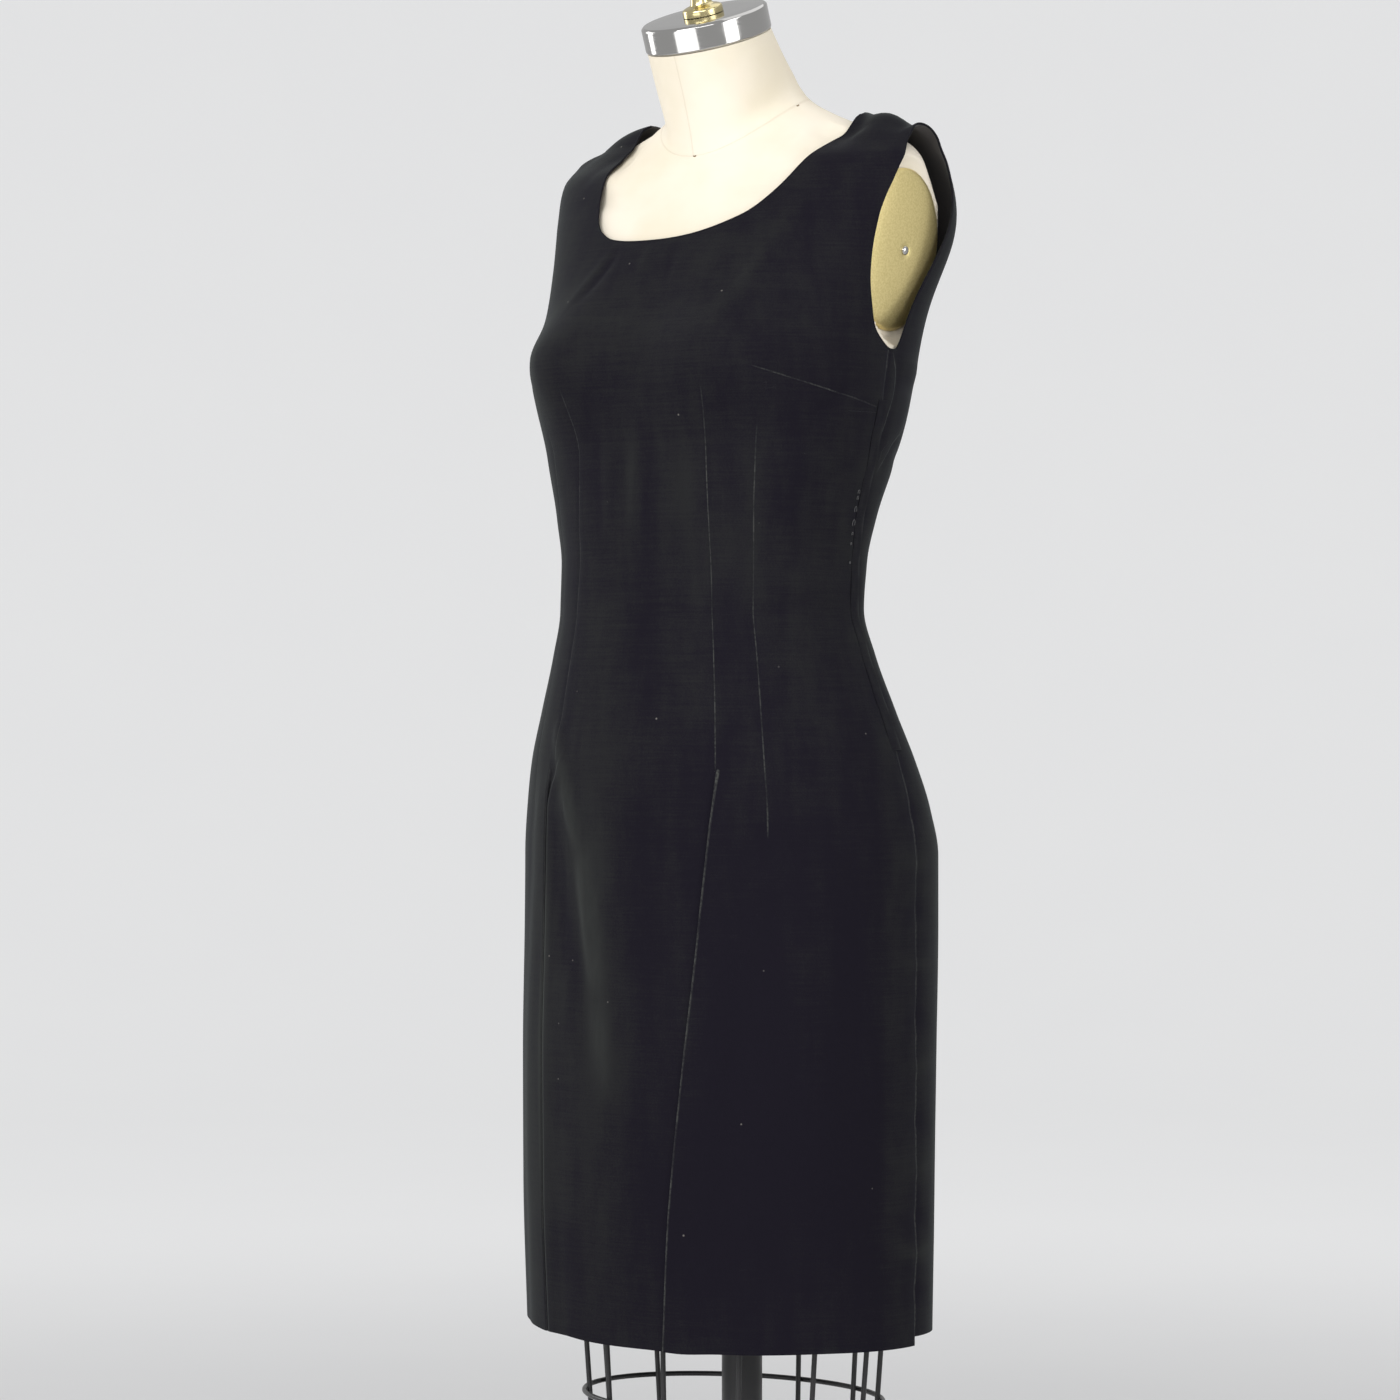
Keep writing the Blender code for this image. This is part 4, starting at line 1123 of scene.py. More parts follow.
def dressed(obj, material, slot, *nodes):
    """Gives a piece its material and its body, and hides the CAD nodes it stands for. The slot is not
    used.
    """
    obj.data.materials.clear()
    obj.data.materials.append(material)
    if nodes:
        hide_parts(*nodes)
    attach(obj, "root")
    return obj


CREASES_TOP_Z = 1.385
CREASES_FADE = 0.02
PAINTED_SHADING_OF_FOLDS = 1000  # painted lighter or darker shading for each metre that the cloth rises or sinks, partly turned pile
PAINTED_SHADING_OF_PUCKERS = 1500


def build_panel(panel):
    params = front_params if panel == "front" else back_params
    heights = row_heights()
    grid = np.array([params(z) for z in heights])
    angle, out = grid[..., 0], grid[..., 1]
    z = np.repeat(heights[:, None], angle.shape[1], 1)
    z = z + hem_rise(angle, z, panel)
    fields = {}
    fields["dart"], fields["dart_shown"] = dart_field(angle, z, DARTS[panel])
    drawn_in = puckers(angle, z)
    folds = creases(angle, z, CREASES[panel]) + drawn_in
    rise = folds + dart_rise(fields["dart"], fields["dart_shown"])
    rise *= 1 - smooth_step((z - CREASES_TOP_Z) / CREASES_FADE)
    # Painted sheen on ridges and painted shade in creases and puckers, plus the listed patches of painted
    # sheen and shade
    fields["nap_and_sheen"] = folds * PAINTED_SHADING_OF_FOLDS + drawn_in * PAINTED_SHADING_OF_PUCKERS
    fields["nap_and_sheen"] += nap_and_sheen_marks(angle, z, NAP_AND_SHEEN[panel])
    turn = np.abs((angle + pi / 2) % pi - pi / 2)
    fields["seam"] = turn * dress_radius(angle, z) * 1000
    # fold: distance to each pleat's fold crest, where a painted sheen line is drawn
    fields["fold"] = fold_sheen_distance(z) if panel == "front" else np.full(z.shape, FAR)
    middle = dress_point(angle, z, out + rise)
    normal = grid_normals(middle)
    middle = middle - normal * strap_lift(middle)[..., None]
    normal = grid_normals(middle)
    faces, pairs, share = clip(angle, z, panel)
    middle, normal = grow(middle, pairs, share), grow(normal, pairs, share)
    normal /= np.linalg.norm(normal, axis=1, keepdims=True)
    fields = {name: grow(values, pairs, share) for name, values in fields.items()}
    made = shell(f"cloth_{panel}", middle, normal, faces, CLOTH, fields)
    return dressed(made, VELVET, "velvet", f"dress_{panel}")


FOLD_FADE = 0.02
FOLD_POINT_STEP = 0.8  # millimetres between points round the fold, roughly


def fold_sheen_distance(z):
    """Distance in millimetres from the crest of the nearer pleat's fold, along a row, for the painted
    sheen line along the crest.
    """
    distance = np.full(z.shape, FAR)
    released = smooth_step((PLEAT_RELEASE_Z - z[:, 0]) / FOLD_FADE)
    for pleat, on_right in ((LEFT_PLEAT, False), (RIGHT_PLEAT, True)):
        rows = table(pleat["rows"], PLEAT_COLUMNS)
        for k, height in enumerate(z[:, 0]):
            depth = float(along(rows["z"], rows["depth"], height))
            path = np.array(fold_path(depth, PLEAT_STACK, pleat["swell"]))
            crest = PLEAT_CREST + 2
            away = np.abs(np.arange(len(path)) - crest) * FOLD_POINT_STEP
            away[:crest] = path[:crest, 0] * 1000 + FOLD_POINT_STEP
            away += pleat["line"] + 30 * (1 - released[k])
            if on_right:
                end = z.shape[1] - SIDE_STATIONS - 1
                distance[k, end - len(path) : end] = away[::-1]
            else:
                start = SIDE_STATIONS + 1
                distance[k, start : start + len(path)] = away
    return distance


def build_dress():
    """The two panels, and the turned edges that go with each."""
    edges = build_edges()
    for panel in ("front", "back"):
        made = build_panel(panel)


EDGE_RADIUS = 0.0009


def lifted(angle, z):
    """Places on the cloth's middle with the strap's own lift."""
    place = dress_point(angle, z)
    across = dress_point(angle + 1e-3, z) - place
    up = dress_point(angle, z + 1e-4) - place
    normal = np.cross(across, up)
    normal /= np.linalg.norm(normal, axis=1, keepdims=True)
    return place + normal * strap_lift(place)[:, None]


def build_edges():
    """The turned edges of the neck and armholes, round and a little thicker than the cloth."""
    edges = {"front": [], "back": []}
    for panel in ("front", "back"):
        line = NECKS[panel]
        room = along(DRESS["z"], DRESS["half_width"], line[:, 1])
        line = line[(line[:, 1] < TOP_Z) & (np.abs(line[:, 0]) < room - 0.001)]
        angles = np.array([angle_at(x, z, panel == "front") for x, z in line])
        run = lifted(angles, line[:, 1])
        made = tube(f"neck_edge_{panel}", run, EDGE_RADIUS)
        edges[panel].append(dressed(made, PLAIN_VELVET, "velvet"))
    for label, side in (("left", 1), ("right", -1)):
        run = []
        for y, z in ARM:
            low, high = (-1.2, 1.4)
            angles = np.linspace(low, high, 400)
            places = dress_point(angles, z)[:, 1]
            angle = float(np.interp(y, places, angles))
            run.append(angle if side > 0 else pi - angle)
        run = lifted(np.array(run), ARM[:, 1])
        made = tube(f"armhole_edge_{label}", run, EDGE_RADIUS, closed=True)
        edges["back"].append(dressed(made, PLAIN_VELVET, "velvet"))
    return edges


ZIP_LOW_Z = 0.930
ZIP_HIGH_Z = 1.190
ZIP_LAP_WIDTH = 0.012
ZIP_LAP_ROWS = 90
ZIP_LAP_POINTS = 9
ZIP_LAP_CLOTH = 0.0009
ZIP_STITCH_DEGREES = -4.0
# Height, reach along the cloth and half height of each thread loop
ZIP_STITCHES = (
    (1.1215, 0.0012, 0.0016),
    (1.1170, 0.0010, 0.0016),
    (1.1085, 0.0015, 0.0024),
    (1.0985, 0.0016, 0.0026),
    (1.0905, 0.0009, 0.0012),
    (1.0830, 0.0008, 0.0011),
    (1.0690, 0.0007, 0.0010),
)


def build_side_zip():
    """The lap over the closed zip, and the hand stitches that hold it."""
    heights = np.linspace(ZIP_LOW_Z, ZIP_HIGH_Z, ZIP_LAP_ROWS)
    half = ZIP_LAP_WIDTH / 2 / ARC
    across = np.linspace(half, -half, ZIP_LAP_POINTS)
    angle = np.repeat(across[None], len(heights), 0)
    z = np.repeat(heights[:, None], len(across), 1)
    ripple = 0.0003 * np.sin(z * 190) * np.cos(angle * 60)
    crown = 0.0007 * (1 - (angle / half) ** 2)
    out = CLOTH / 2 + 0.0001 + crown + 0.5 * puckers(angle, z) + ripple
    points = dress_point(angle, z, out)
    row, last = ZIP_LAP_POINTS, ZIP_LAP_POINTS - 1
    start = [i * row + j for i in range(len(heights) - 1) for j in range(last)]
    faces = [(k, k + 1, k + row + 1, k + row) for k in start]
    normals = grid_normals(points).reshape(-1, 3)
    lap = shell("zip_lap", points.reshape(-1, 3), normals, faces, ZIP_LAP_CLOTH)
    dressed(lap, PLAIN_VELVET, "velvet", "side_zip_lap")
    for k, (z, reach, height) in enumerate(ZIP_STITCHES):
        turn = np.linspace(-0.2 * pi, 1.25 * pi, 14)
        angle = radians(ZIP_STITCH_DEGREES) + reach * np.cos(turn) / ARC
        loop = dress_point(angle, z + height * np.sin(turn), CLOTH / 2 + 0.0011)
        stitch = tube(f"zip_stitch_{k + 1}", loop, 0.00022, around=6)
        dressed(stitch, THREAD, "velvet")


# ---------------------------------------------------------------- the form

TORSO_BOTTOM_Z = 0.800
FORM_SECTIONS = (
    (0.800, 0.161, -0.012, 0.130, 0.106, 2.10, 2.2),
    (0.850, 0.164, -0.012, 0.133, 0.110, 2.10, 2.2),
    (0.885, 0.159, -0.013, 0.132, 0.099, 2.10, 2.2),
    (0.920, 0.149, -0.016, 0.127, 0.085, 2.15, 2.2),
    (0.958, 0.136, -0.019, 0.119, 0.067, 2.20, 2.2),
    (1.000, 0.121, -0.023, 0.107, 0.056, 2.30, 2.2),
    (1.035, 0.113, -0.026, 0.100, 0.052, 2.35, 2.2),
    (1.070, 0.113, -0.025, 0.100, 0.060, 2.35, 2.2),
    (1.105, 0.119, -0.024, 0.104, 0.072, 2.40, 2.3),
    (1.150, 0.130, -0.021, 0.107, 0.090, 2.60, 2.4),
    (1.190, 0.138, -0.018, 0.114, 0.101, 2.70, 2.5),
    (1.225, 0.142, -0.016, 0.117, 0.107, 2.60, 2.5),
    (1.260, 0.145, -0.012, 0.108, 0.108, 2.40, 2.5),
    (1.300, 0.150, -0.006, 0.095, 0.105, 2.30, 2.5),
    (1.340, 0.154, 0.001, 0.080, 0.094, 2.20, 2.4),
)
FORM = table(FORM_SECTIONS, SECTION_COLUMNS)
BODY_TOP_Z = FORM_SECTIONS[-1][0]
NECK_COLUMNS = ("front_y", "front_z", "back_y", "back_z", "half_width", "side_z")
NECK_RINGS = (
    (-0.0735, 1.3500, 0.0900, 1.3600, 0.1545, 1.3560),
    (-0.0705, 1.3570, 0.0830, 1.3750, 0.1520, 1.3710),
    (-0.0685, 1.3620, 0.0760, 1.3870, 0.1440, 1.3820),
    (-0.0665, 1.3670, 0.0690, 1.3970, 0.1240, 1.3900),
    (-0.0655, 1.3710, 0.0620, 1.4060, 0.0990, 1.3990),
    (-0.0645, 1.3740, 0.0560, 1.4130, 0.0780, 1.4075),
    (-0.0640, 1.3765, 0.0500, 1.4200, 0.0620, 1.4155),
    (-0.0640, 1.3800, 0.0440, 1.4290, 0.0535, 1.4225),
    (-0.0660, 1.3900, 0.0360, 1.4420, 0.0495, 1.4310),
    (-0.0750, 1.4180, 0.0180, 1.4640, 0.0490, 1.4460),
    (-0.0880, 1.4500, 0.0020, 1.4846, 0.0475, 1.4673),
)
BODY_EASE = 0.0016
SHOULDER_EASE = 0.0024
RAISED_FOLLOWED = 0.4  # share of a strap's lift that the form follows
SUNK_FOLLOWED = 1.3
NECK_SEAM_RING = 6.4
FORM_BLADE_SHARE = 0.52
BARE_EDGE = 0.0020
BARE_BLEND = 0.026
RING_POINTS = 288


def ring_angles():
    """Angles around the form, closest together at its sides."""
    even = np.linspace(0.0, 2 * pi, RING_POINTS, endpoint=False)
    return even - 0.22 * np.sin(2 * even)


def slope_at(angle, z):
    """How fast the cloth's radius grows with height."""
    step = 0.0005
    return (dress_radius(angle, z + step) - dress_radius(angle, z - step)) / (2 * step)


def room_inside(angle, z, ease):
    """The largest radius that stays this far inside the cloth, measured square to it."""
    return dress_radius(angle, z) - (CLOTH / 2 + ease) * np.sqrt(1 + slope_at(angle, z) ** 2)


def draw_inside(points, ease, share):
    """Moves points that stand too near the cloth, or through it, square to it and inwards."""
    for _ in range(3):
        centre = along(DRESS["z"], DRESS["centre_y"], points[:, 2])
        angle = np.arctan2(points[:, 1] - centre, points[:, 0])
        radius = np.hypot(points[:, 0], points[:, 1] - centre)
        slope = slope_at(angle, points[:, 2])
        steep = np.sqrt(1 + slope**2)
        lift = strap_lift(points)
        lift = lift * np.where(lift > 0, RAISED_FOLLOWED, SUNK_FOLLOWED)
        short = CLOTH / 2 + ease - lift - (dress_radius(angle, points[:, 2]) - radius) / steep
        move = np.maximum(short, 0.0) * share
        out = np.stack([np.cos(angle), np.sin(angle), -slope], 1) / steep[:, None]
        points = points - out * move[:, None]
        share = np.where(share > 0.999, share, 0.0)
    return points


def form_ring(z):
    angle = ring_angles()
    radius = section_radius(angle, z, FORM) + bust_rise(angle, z)
    radius = radius + FORM_BLADE_SHARE * blade_rise(angle, z)
    radius = np.minimum(radius, room_inside(angle, z, BODY_EASE))
    centre = along(DRESS["z"], DRESS["centre_y"], z)
    x, y = radius * np.cos(angle), centre + radius * np.sin(angle)
    return np.stack([x, y, np.full(RING_POINTS, z)], -1)


def neck_ring(row):
    front_y, front_z, back_y, back_z, half_width, side_z = row
    angle = ring_angles()
    c, s = np.cos(angle), np.sin(angle)
    middle_y, middle_z = (front_y + back_y) / 2, (front_z + back_z) / 2
    x = half_width * c
    y = middle_y + (back_y - front_y) / 2 * s
    z = middle_z + (back_z - front_z) / 2 * s + (side_z - middle_z) * c * c
    centre = along(DRESS["z"], DRESS["centre_y"], z)
    place = np.arctan2(y - centre, x)
    radius = np.hypot(x, y - centre)
    fuller = 1 + FORM_BLADE_SHARE * blade_rise(place, z) / radius
    x, y, radius = x * fuller, centre + (y - centre) * fuller, radius * fuller
    flat = np.stack([x, z], 1)
    bare = np.where(y < centre, neck_depth(flat, "front"), neck_depth(flat, "back"))
    covered = 1 - smooth_step((bare - BARE_EDGE) / BARE_BLEND)
    return draw_inside(np.stack([x, y, z], -1), SHOULDER_EASE, covered)


ARM_PLATE_CENTRE = Vector((0.1375, 0.005, 1.3045))
ARM_PLATE_LEAN = radians(9)
ARM_PLATE_TURN = radians(8)
ARM_PLATE_HALF_HEIGHT = 0.0610
ARM_PLATE_HALF_DEPTH = 0.0435
ARM_PLATE_RIM = 0.0022
ARM_PLATE_DOME = 0.0075
ARM_PLATE_DISH = 0.0011
PLATE_SEAT = 1.07  # size of the flat under a plate, as a share of the plate
PLATE_SEAT_BLEND = 0.13
SEAT_GAP = 0.0004


def plate_frame(side):
    level = Vector((side * cos(ARM_PLATE_TURN), -sin(ARM_PLATE_TURN), 0))
    out = cos(ARM_PLATE_LEAN) * level + Vector((0, 0, -sin(ARM_PLATE_LEAN)))
    up = sin(ARM_PLATE_LEAN) * level + Vector((0, 0, cos(ARM_PLATE_LEAN)))
    across = up.cross(out)
    centre = Vector((side * ARM_PLATE_CENTRE.x, ARM_PLATE_CENTRE.y, ARM_PLATE_CENTRE.z))
    return Matrix.Translation(centre) @ Matrix((across, up, out)).transposed().to_4x4()


def flatten_under_plates(points):
    """Presses the form's surface back to the plane of each arm plate, where the plate lies."""
    for side in (1, -1):
        place = np.array(plate_frame(side))
        local = (points - place[:3, 3]) @ place[:3, :3]
        oval = np.hypot(local[:, 0] / ARM_PLATE_HALF_DEPTH, local[:, 1] / ARM_PLATE_HALF_HEIGHT)
        press = 1 - smooth_step((oval - PLATE_SEAT) / PLATE_SEAT_BLEND)
        high = np.maximum(local[:, 2], 0.0) * press * (points[:, 0] * side > 0.05)
        points = points - high[:, None] * place[:3, 2]
    return points


def build_torso():
    level = list(np.linspace(TORSO_BOTTOM_Z, BODY_TOP_Z, 170))
    rings = [form_ring(z) for z in level]
    rows = np.array(NECK_RINGS)
    share = np.arange(len(rows), dtype=float)
    fine = np.linspace(0, len(rows) - 1, 60)
    smooth_rows = np.stack([along(share, rows[:, k], fine) for k in range(rows.shape[1])], 1)
    rings += [neck_ring(row) for row in smooth_rows]
    points = np.concatenate(rings)
    neck_share = np.concatenate([np.full(len(level), -99.0), fine])
    points = flatten_under_plates(points)
    torso = link("torso", points, capped_faces(len(rings), RING_POINTS))
    ring_of = np.repeat(neck_share, RING_POINTS)
    front = (points[:, 1] < -0.03) & (ring_of > NECK_SEAM_RING)
    centre = np.where(front, points[:, 0] * 1000, 50.0)
    layer = torso.data.attributes.new("centre_seam", "FLOAT", "POINT")
    layer.data.foreach_set("value", centre.astype(np.float32))
    layer = torso.data.attributes.new("neck_seam", "FLOAT", "POINT")
    layer.data.foreach_set("value", ((ring_of - NECK_SEAM_RING) * 6.0).astype(np.float32))
    dressed(torso, MUSLIN, "muslin", "form_torso")


DISH_RADIUS = 0.0052


def dome(name, half_size, rim, rise, rings, points, matrix, dish=0.0):
    """A low oval dome on its rim, dished by this much about its middle."""
    turn = np.arange(points) * 2 * pi / points

    def oval(scale, z):
        ring = [(scale * half_size[0] * cos(a), scale * half_size[1] * sin(a)) for a in turn]
        return [(x, y, z - dish * exp(-((hypot(x, y) / DISH_RADIUS) ** 4))) for x, y in ring]

    loops = [oval(1.0, 0.0), oval(1.0, rim * 0.6), oval(0.985, rim)]
    bends = list(np.arange(1, rings) / rings)
    if dish:
        bends = sorted(bends + [(rings - k) / rings for k in (0.3, 0.6, 1.3, 1.6, 2.3, 2.6, 3.5)])
    for share in bends:
        bend = pi / 2 * share
        loops.append(oval(0.985 * cos(bend), rim + rise * sin(bend)))
    verts = [p for loop in loops for p in loop] + [(0, 0, rim + rise - dish)]
    faces = capped_faces(len(loops), points)[:-1]
    last, tip = (len(loops) - 1) * points, len(verts) - 1
    faces += [(last + i, last + (i + 1) % points, tip) for i in range(points)]
    return link(name, [matrix @ Vector(p) for p in verts], faces)


def build_arm_plates():
    for side, label in ((1, "left"), (-1, "right")):
        half_size = (ARM_PLATE_HALF_DEPTH, ARM_PLATE_HALF_HEIGHT)
        place = plate_frame(side) @ Matrix.Translation((0, 0, SEAT_GAP))
        size = (half_size, ARM_PLATE_RIM, ARM_PLATE_DOME)
        plate = dome(f"plate_{label}", *size, 24, 96, place, ARM_PLATE_DISH)
        dressed(plate, GOLD, "gold_paint", f"arm_plate_{label}")
        top = ARM_PLATE_RIM + ARM_PLATE_DOME - ARM_PLATE_DISH + 1.2 * SEAT_GAP
        place = plate_frame(side) @ Matrix.Translation((0, 0, top))
        screw = dome(f"screw_{label}", (0.0035, 0.0035), 0.0006, 0.0020, 8, 32, place)
        dressed(screw, STEEL, "brushed_steel", f"arm_screw_{label}")


def turned(name, profile, points, matrix):
    """A profile of (radius, height) turned about its axis."""
    turn = np.arange(points) * 2 * pi / points
    verts = [matrix @ Vector((r * cos(a), r * sin(a), z)) for r, z in profile for a in turn]
    return link(name, verts, capped_faces(len(profile), points))


def rounded(profile, radius=0.0006, steps=4):
    """A turned profile with its corners rounded."""
    p = np.array(profile, float)
    out = [p[0]]
    for before, here, after in zip(p, p[1:], p[2:]):
        back, ahead = before - here, after - here
        reach = min(radius, 0.45 * np.linalg.norm(back), 0.45 * np.linalg.norm(ahead))
        a = here + back / np.linalg.norm(back) * reach
        b = here + ahead / np.linalg.norm(ahead) * reach
        for t in np.linspace(0, 1, steps + 1):
            out.append((1 - t) ** 2 * a + 2 * t * (1 - t) * here + t * t * b)
    out.append(p[-1])
    return np.array(out)


NECK_CAP_RADIUS = 0.0487
NECK_CAP_HEIGHT = 0.0200
NECK_CAP_PROFILE = (
    (NECK_CAP_RADIUS - 0.0012, 0.0),
    (NECK_CAP_RADIUS, 0.0012),
    (NECK_CAP_RADIUS, 0.0026),
    (NECK_CAP_RADIUS, NECK_CAP_HEIGHT - 0.0032),
    (NECK_CAP_RADIUS, NECK_CAP_HEIGHT - 0.0018),
    (NECK_CAP_RADIUS - 0.0018, NECK_CAP_HEIGHT),
    (0.030, NECK_CAP_HEIGHT),
    (0.004, NECK_CAP_HEIGHT),
)
NECK_KNOB_PROFILE = (
    (0.0155, 0.0),
    (0.0155, 0.0050),
    (0.0125, 0.0065),
    (0.0085, 0.0075),
    (0.0070, 0.0140),
    (0.0090, 0.0180),
    (0.0120, 0.0240),
    (0.0120, 0.0290),
    (0.0090, 0.0340),
    (0.0040, 0.0362),
)


def neck_frame():
    row = dict(zip(NECK_COLUMNS, NECK_RINGS[-1]))
    tilt = atan2(row["back_z"] - row["front_z"], row["back_y"] - row["front_y"])
    centre = ((row["front_y"] + row["back_y"]) / 2, (row["front_z"] + row["back_z"]) / 2)
    return Matrix.Translation((0, centre[0], centre[1])) @ Matrix.Rotation(tilt, 4, "X")


# Places where the form's cover is caught down at the neck, as (ring angle in degrees, ring)
NECK_STITCHES = ((-88.0, 6.30), (-2.0, 6.30))


def build_neck_stitches():
    rows = np.array(NECK_RINGS)
    share = np.arange(len(rows), dtype=float)
    for k, (degrees, ring) in enumerate(NECK_STITCHES):
        row = [float(along(share, rows[:, i], ring)) for i in range(rows.shape[1])]
        points = neck_ring(row)
        centre = points.mean(0)
        at = int(np.abs(np.degrees(ring_angles()) - degrees % 360).argmin())
        place = points[at] + (points[at] - centre) * 0.003
        beside = points[(at + 1) % RING_POINTS] - points[at]
        beside /= np.linalg.norm(beside)
        run = [place + beside * t + np.array([0, 0, 0.25 * abs(t)]) for t in (-0.0012, 0.0, 0.0012)]
        stitch = tube(f"neck_stitch_{k + 1}", run, 0.0005, around=8)
        dressed(stitch, BROWN_THREAD, "muslin")


def build_neck_top():
    seat = neck_frame() @ Matrix.Translation((0, 0, SEAT_GAP))
    cap = turned("cap", rounded(NECK_CAP_PROFILE), 128, seat)
    dressed(cap, STEEL, "brushed_steel", "neck_cap")
    seat = seat @ Matrix.Translation((0, 0, NECK_CAP_HEIGHT + SEAT_GAP))
    knob = turned("knob", rounded(NECK_KNOB_PROFILE, 0.002), 64, seat)
    dressed(knob, BRASS, "brass", "neck_knob")


CAGE_TOP_Z = TORSO_BOTTOM_Z - SEAT_GAP
CAGE_BOTTOM_Z = 0.350
CAGE_RING_HEIGHTS = (0.350, 0.436, 0.620)
CAGE_WIRE = 0.0020
CAGE_RODS = 12
CAGE_TOP_SIZE = (0.1510, 0.0980)
CAGE_LOW_SIZE = (0.1120, 0.0860)
CAGE_CENTRE_Y = -0.0125
CAGE_FIRST_ROD = radians(30)
CAGE_ROD_END = 0.004
CAGE_RING_SEAT = 0.0005


def cage_point(angle, z, out=0.0):
    share = (z - CAGE_BOTTOM_Z) / (CAGE_TOP_Z - CAGE_BOTTOM_Z)
    half_width = CAGE_LOW_SIZE[0] + share * (CAGE_TOP_SIZE[0] - CAGE_LOW_SIZE[0]) + out
    half_depth = CAGE_LOW_SIZE[1] + share * (CAGE_TOP_SIZE[1] - CAGE_LOW_SIZE[1]) + out
    return (half_width * cos(angle), CAGE_CENTRE_Y + half_depth * sin(angle), z)


def build_cage():
    for i in range(CAGE_RODS):
        angle = CAGE_FIRST_ROD + 2 * pi * i / CAGE_RODS
        heights = np.linspace(CAGE_BOTTOM_Z - CAGE_ROD_END, CAGE_TOP_Z, 8)
        run = [cage_point(angle, z) for z in heights]
        rod = tube(f"rod_{i + 1:02d}", run, CAGE_WIRE, around=16)
        dressed(rod, ENAMEL, "black_enamel", f"cage_rod_{i + 1:02d}")
    beside = 2 * CAGE_WIRE + CAGE_RING_SEAT - 0.0004
    for i, z in enumerate(CAGE_RING_HEIGHTS):
        run = [cage_point(2 * pi * k / 144, z, beside) for k in range(144)]
        ring = tube(f"ring_{i + 1}", run, CAGE_WIRE, closed=True, around=12)
        dressed(ring, ENAMEL, "black_enamel", f"cage_ring_{i + 1}")


POLE_RADIUS = 0.0155
POLE_SLOT_WIDTH = 0.0030
POLE_SLOT_DEPTH = 0.0018
POLE_SLOT_FACING = radians(-60)
BASE_RADIUS = 0.2400
BASE_TOP_Z = 0.0330
BASE_PROFILE = (
    (BASE_RADIUS - 0.004, 0.0),
    (BASE_RADIUS, 0.004),
    (BASE_RADIUS, 0.012),
    (BASE_RADIUS - 0.006, 0.018),
    (0.150, 0.0265),
    (0.060, BASE_TOP_Z),
    (0.010, BASE_TOP_Z),
)
HUB_HEIGHT = 0.0500
HUB_PROFILE = (
    (0.034, 0.0),
    (0.034, 0.006),
    (0.028, HUB_HEIGHT - 0.004),
    (0.024, HUB_HEIGHT),
    (0.008, HUB_HEIGHT),
)


def build_stand():
    base = turned("base", rounded(BASE_PROFILE, 0.003), 160, Matrix.Identity(4))
    dressed(base, ENAMEL, "black_enamel", "stand_base")
    hub_z = BASE_TOP_Z + SEAT_GAP
    hub = turned("hub", rounded(HUB_PROFILE, 0.002), 96, Matrix.Translation((0, 0, hub_z)))
    dressed(hub, ENAMEL, "black_enamel", "stand_hub")
    low = hub_z + HUB_HEIGHT + SEAT_GAP
    high = TORSO_BOTTOM_Z - SEAT_GAP
    half_slot = POLE_SLOT_WIDTH / 2 / POLE_RADIUS
    around = np.linspace(POLE_SLOT_FACING + half_slot, POLE_SLOT_FACING + 2 * pi - half_slot, 90)
    section = [(POLE_RADIUS * cos(a), POLE_RADIUS * sin(a)) for a in around]
    floor = POLE_RADIUS - POLE_SLOT_DEPTH
    for a in (POLE_SLOT_FACING - half_slot, POLE_SLOT_FACING + half_slot):
        section.append((floor * cos(a), floor * sin(a)))
    count = len(section)
    verts = [(x, y, z) for z in (low, high) for x, y in section]
    pole = link("pole", verts, capped_faces(2, count))
    dressed(pole, ENAMEL, "black_enamel", "stand_pole")


# ---------------------------------------------------------------- room, light and camera

AZIMUTH = radians(36)
CAMERA_DISTANCE = 3.3
CAMERA_Z = 0.967
CAMERA_OFFSET = 0.0322
FRAME_WIDTH = 1.0736  # metres seen across the frame at the camera's distance
TOWARDS_CAMERA = Vector((sin(AZIMUTH), -cos(AZIMUTH), 0))
RIGHT = Vector((cos(AZIMUTH), sin(AZIMUTH), 0))


FLOOR_RADIUS = 2.4
SWEEP_START = 7.0
SWEEP_RADIUS = 2.5
WALL_TOP_Z = 9.0
GLOW_START = 1.2
GLOW_SPREAD = 3.6
ROOM_POINTS = 128


def paper(name, profile, material):
    """A round stretch of backdrop paper, by (radius, height)."""
    turn = np.arange(ROOM_POINTS) * 2 * pi / ROOM_POINTS
    verts = [(r * cos(a), r * sin(a), z - 0.0005) for r, z in profile for a in turn]
    made = link(name, verts, ring_faces(len(profile), ROOM_POINTS))
    radius = np.array([r for r, _ in profile])
    glow = np.repeat(smooth_step((radius - GLOW_START) / GLOW_SPREAD), ROOM_POINTS)
    layer = made.data.attributes.new("glow", "FLOAT", "POINT")
    layer.data.foreach_set("value", glow.astype(np.float32))
    made.data.materials.append(material)
    return made


def build_room():
    """A pale round floor, and far beyond it a sweep of lit paper that lights nothing itself."""
    material = backdrop_material()
    paper("floor", [(r, 0.0) for r in np.linspace(0.001, FLOOR_RADIUS, 25)], material)
    sweep = [(r, 0.0) for r in np.linspace(FLOOR_RADIUS, SWEEP_START, 24)]
    for t in np.linspace(0, pi / 2, 16)[1:]:
        sweep.append((SWEEP_START + SWEEP_RADIUS * sin(t), SWEEP_RADIUS * (1 - cos(t))))
    sweep.append((SWEEP_START + SWEEP_RADIUS, WALL_TOP_Z))
    backdrop = paper("backdrop", sweep, material)
    backdrop.visible_diffuse = False
    backdrop.visible_glossy = False
    backdrop.visible_shadow = False


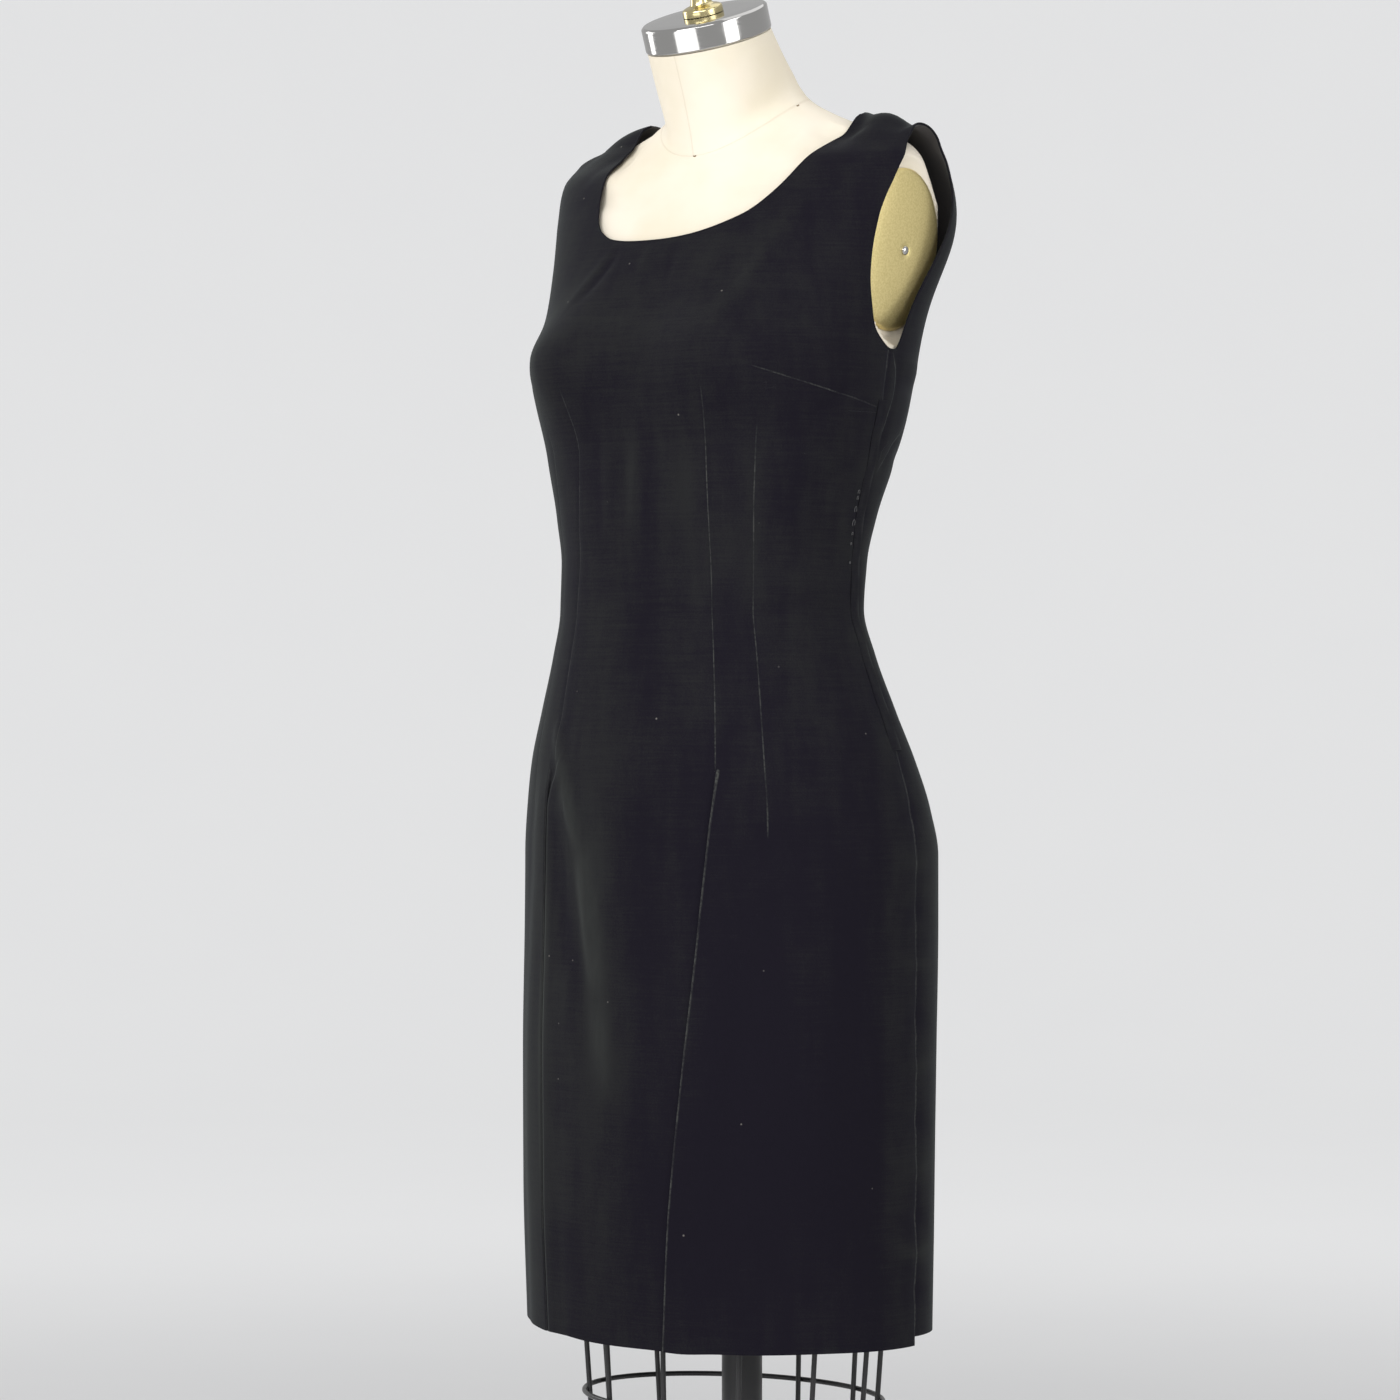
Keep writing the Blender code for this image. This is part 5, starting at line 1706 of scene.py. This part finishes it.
def area_light(name, place, aim, size, power):
    data = bpy.data.lights.new(name, "AREA")
    data.shape = "RECTANGLE"
    data.size, data.size_y = size
    data.energy = power
    made = bpy.data.objects.new(name, data)
    made.location = place
    made.rotation_mode = "QUATERNION"
    made.rotation_quaternion = (Vector(aim) - Vector(place)).to_track_quat("-Z", "Y")
    made.visible_camera = False
    bpy.context.scene.collection.objects.link(made)
    return made


def build_light():
    world = bpy.data.worlds.new("studio")
    bpy.context.scene.world = world
    world.use_nodes = True
    world.node_tree.nodes["Background"].inputs["Color"].default_value = (1.0, 1.0, 1.0, 1.0)
    world.node_tree.nodes["Background"].inputs["Strength"].default_value = 0.52
    target = (0, 0, 1.0)
    key = TOWARDS_CAMERA * 2.2 - RIGHT * 1.9
    area_light("key", (key.x, key.y, 2.3), target, (1.7, 1.8), 54.0)
    fill = TOWARDS_CAMERA * 2.0 + RIGHT * 2.2
    area_light("fill", (fill.x, fill.y, 2.0), target, (1.3, 1.8), 23.0)
    front = TOWARDS_CAMERA * 3.2 - RIGHT * 0.3
    area_light("front", (front.x, front.y, 1.9), (0, 0, 1.1), (1.6, 1.0), 24.0)
    area_light("top", (0.2, 0.6, 3.2), (0, 0, 1.2), (2.4, 2.0), 12.0)
    back = -TOWARDS_CAMERA * 1.2 - RIGHT * 2.0
    area_light("rim", (back.x, back.y, 1.8), target, (0.9, 1.8), 16.0)
    area_light("low_card", (-0.10, -1.35, 0.73), (0, -0.04, 1.46), (1.10, 0.56), 3.6)
    area_light("side_card", (1.45, -0.24, 1.14), (0, -0.04, 1.46), (0.62, 0.60), 3.4)


def build_camera():
    data = bpy.data.cameras.new("camera")
    data.sensor_width = 36.0
    data.lens = 18.0 / (FRAME_WIDTH / 2 / CAMERA_DISTANCE)
    data.clip_start, data.clip_end = 0.1, 50.0
    camera = bpy.data.objects.new("camera", data)
    place = TOWARDS_CAMERA * CAMERA_DISTANCE - RIGHT * CAMERA_OFFSET
    camera.location = (place.x, place.y, CAMERA_Z)
    camera.rotation_mode = "QUATERNION"
    camera.rotation_quaternion = (-TOWARDS_CAMERA).to_track_quat("-Z", "Y")
    bpy.context.scene.collection.objects.link(camera)
    bpy.context.scene.camera = camera


bpy.context.scene.view_settings.view_transform = "Standard"
build_torso()
build_dress()
build_side_zip()
build_arm_plates()
build_neck_stitches()
build_neck_top()
build_cage()
build_stand()
build_room()
build_light()
build_camera()
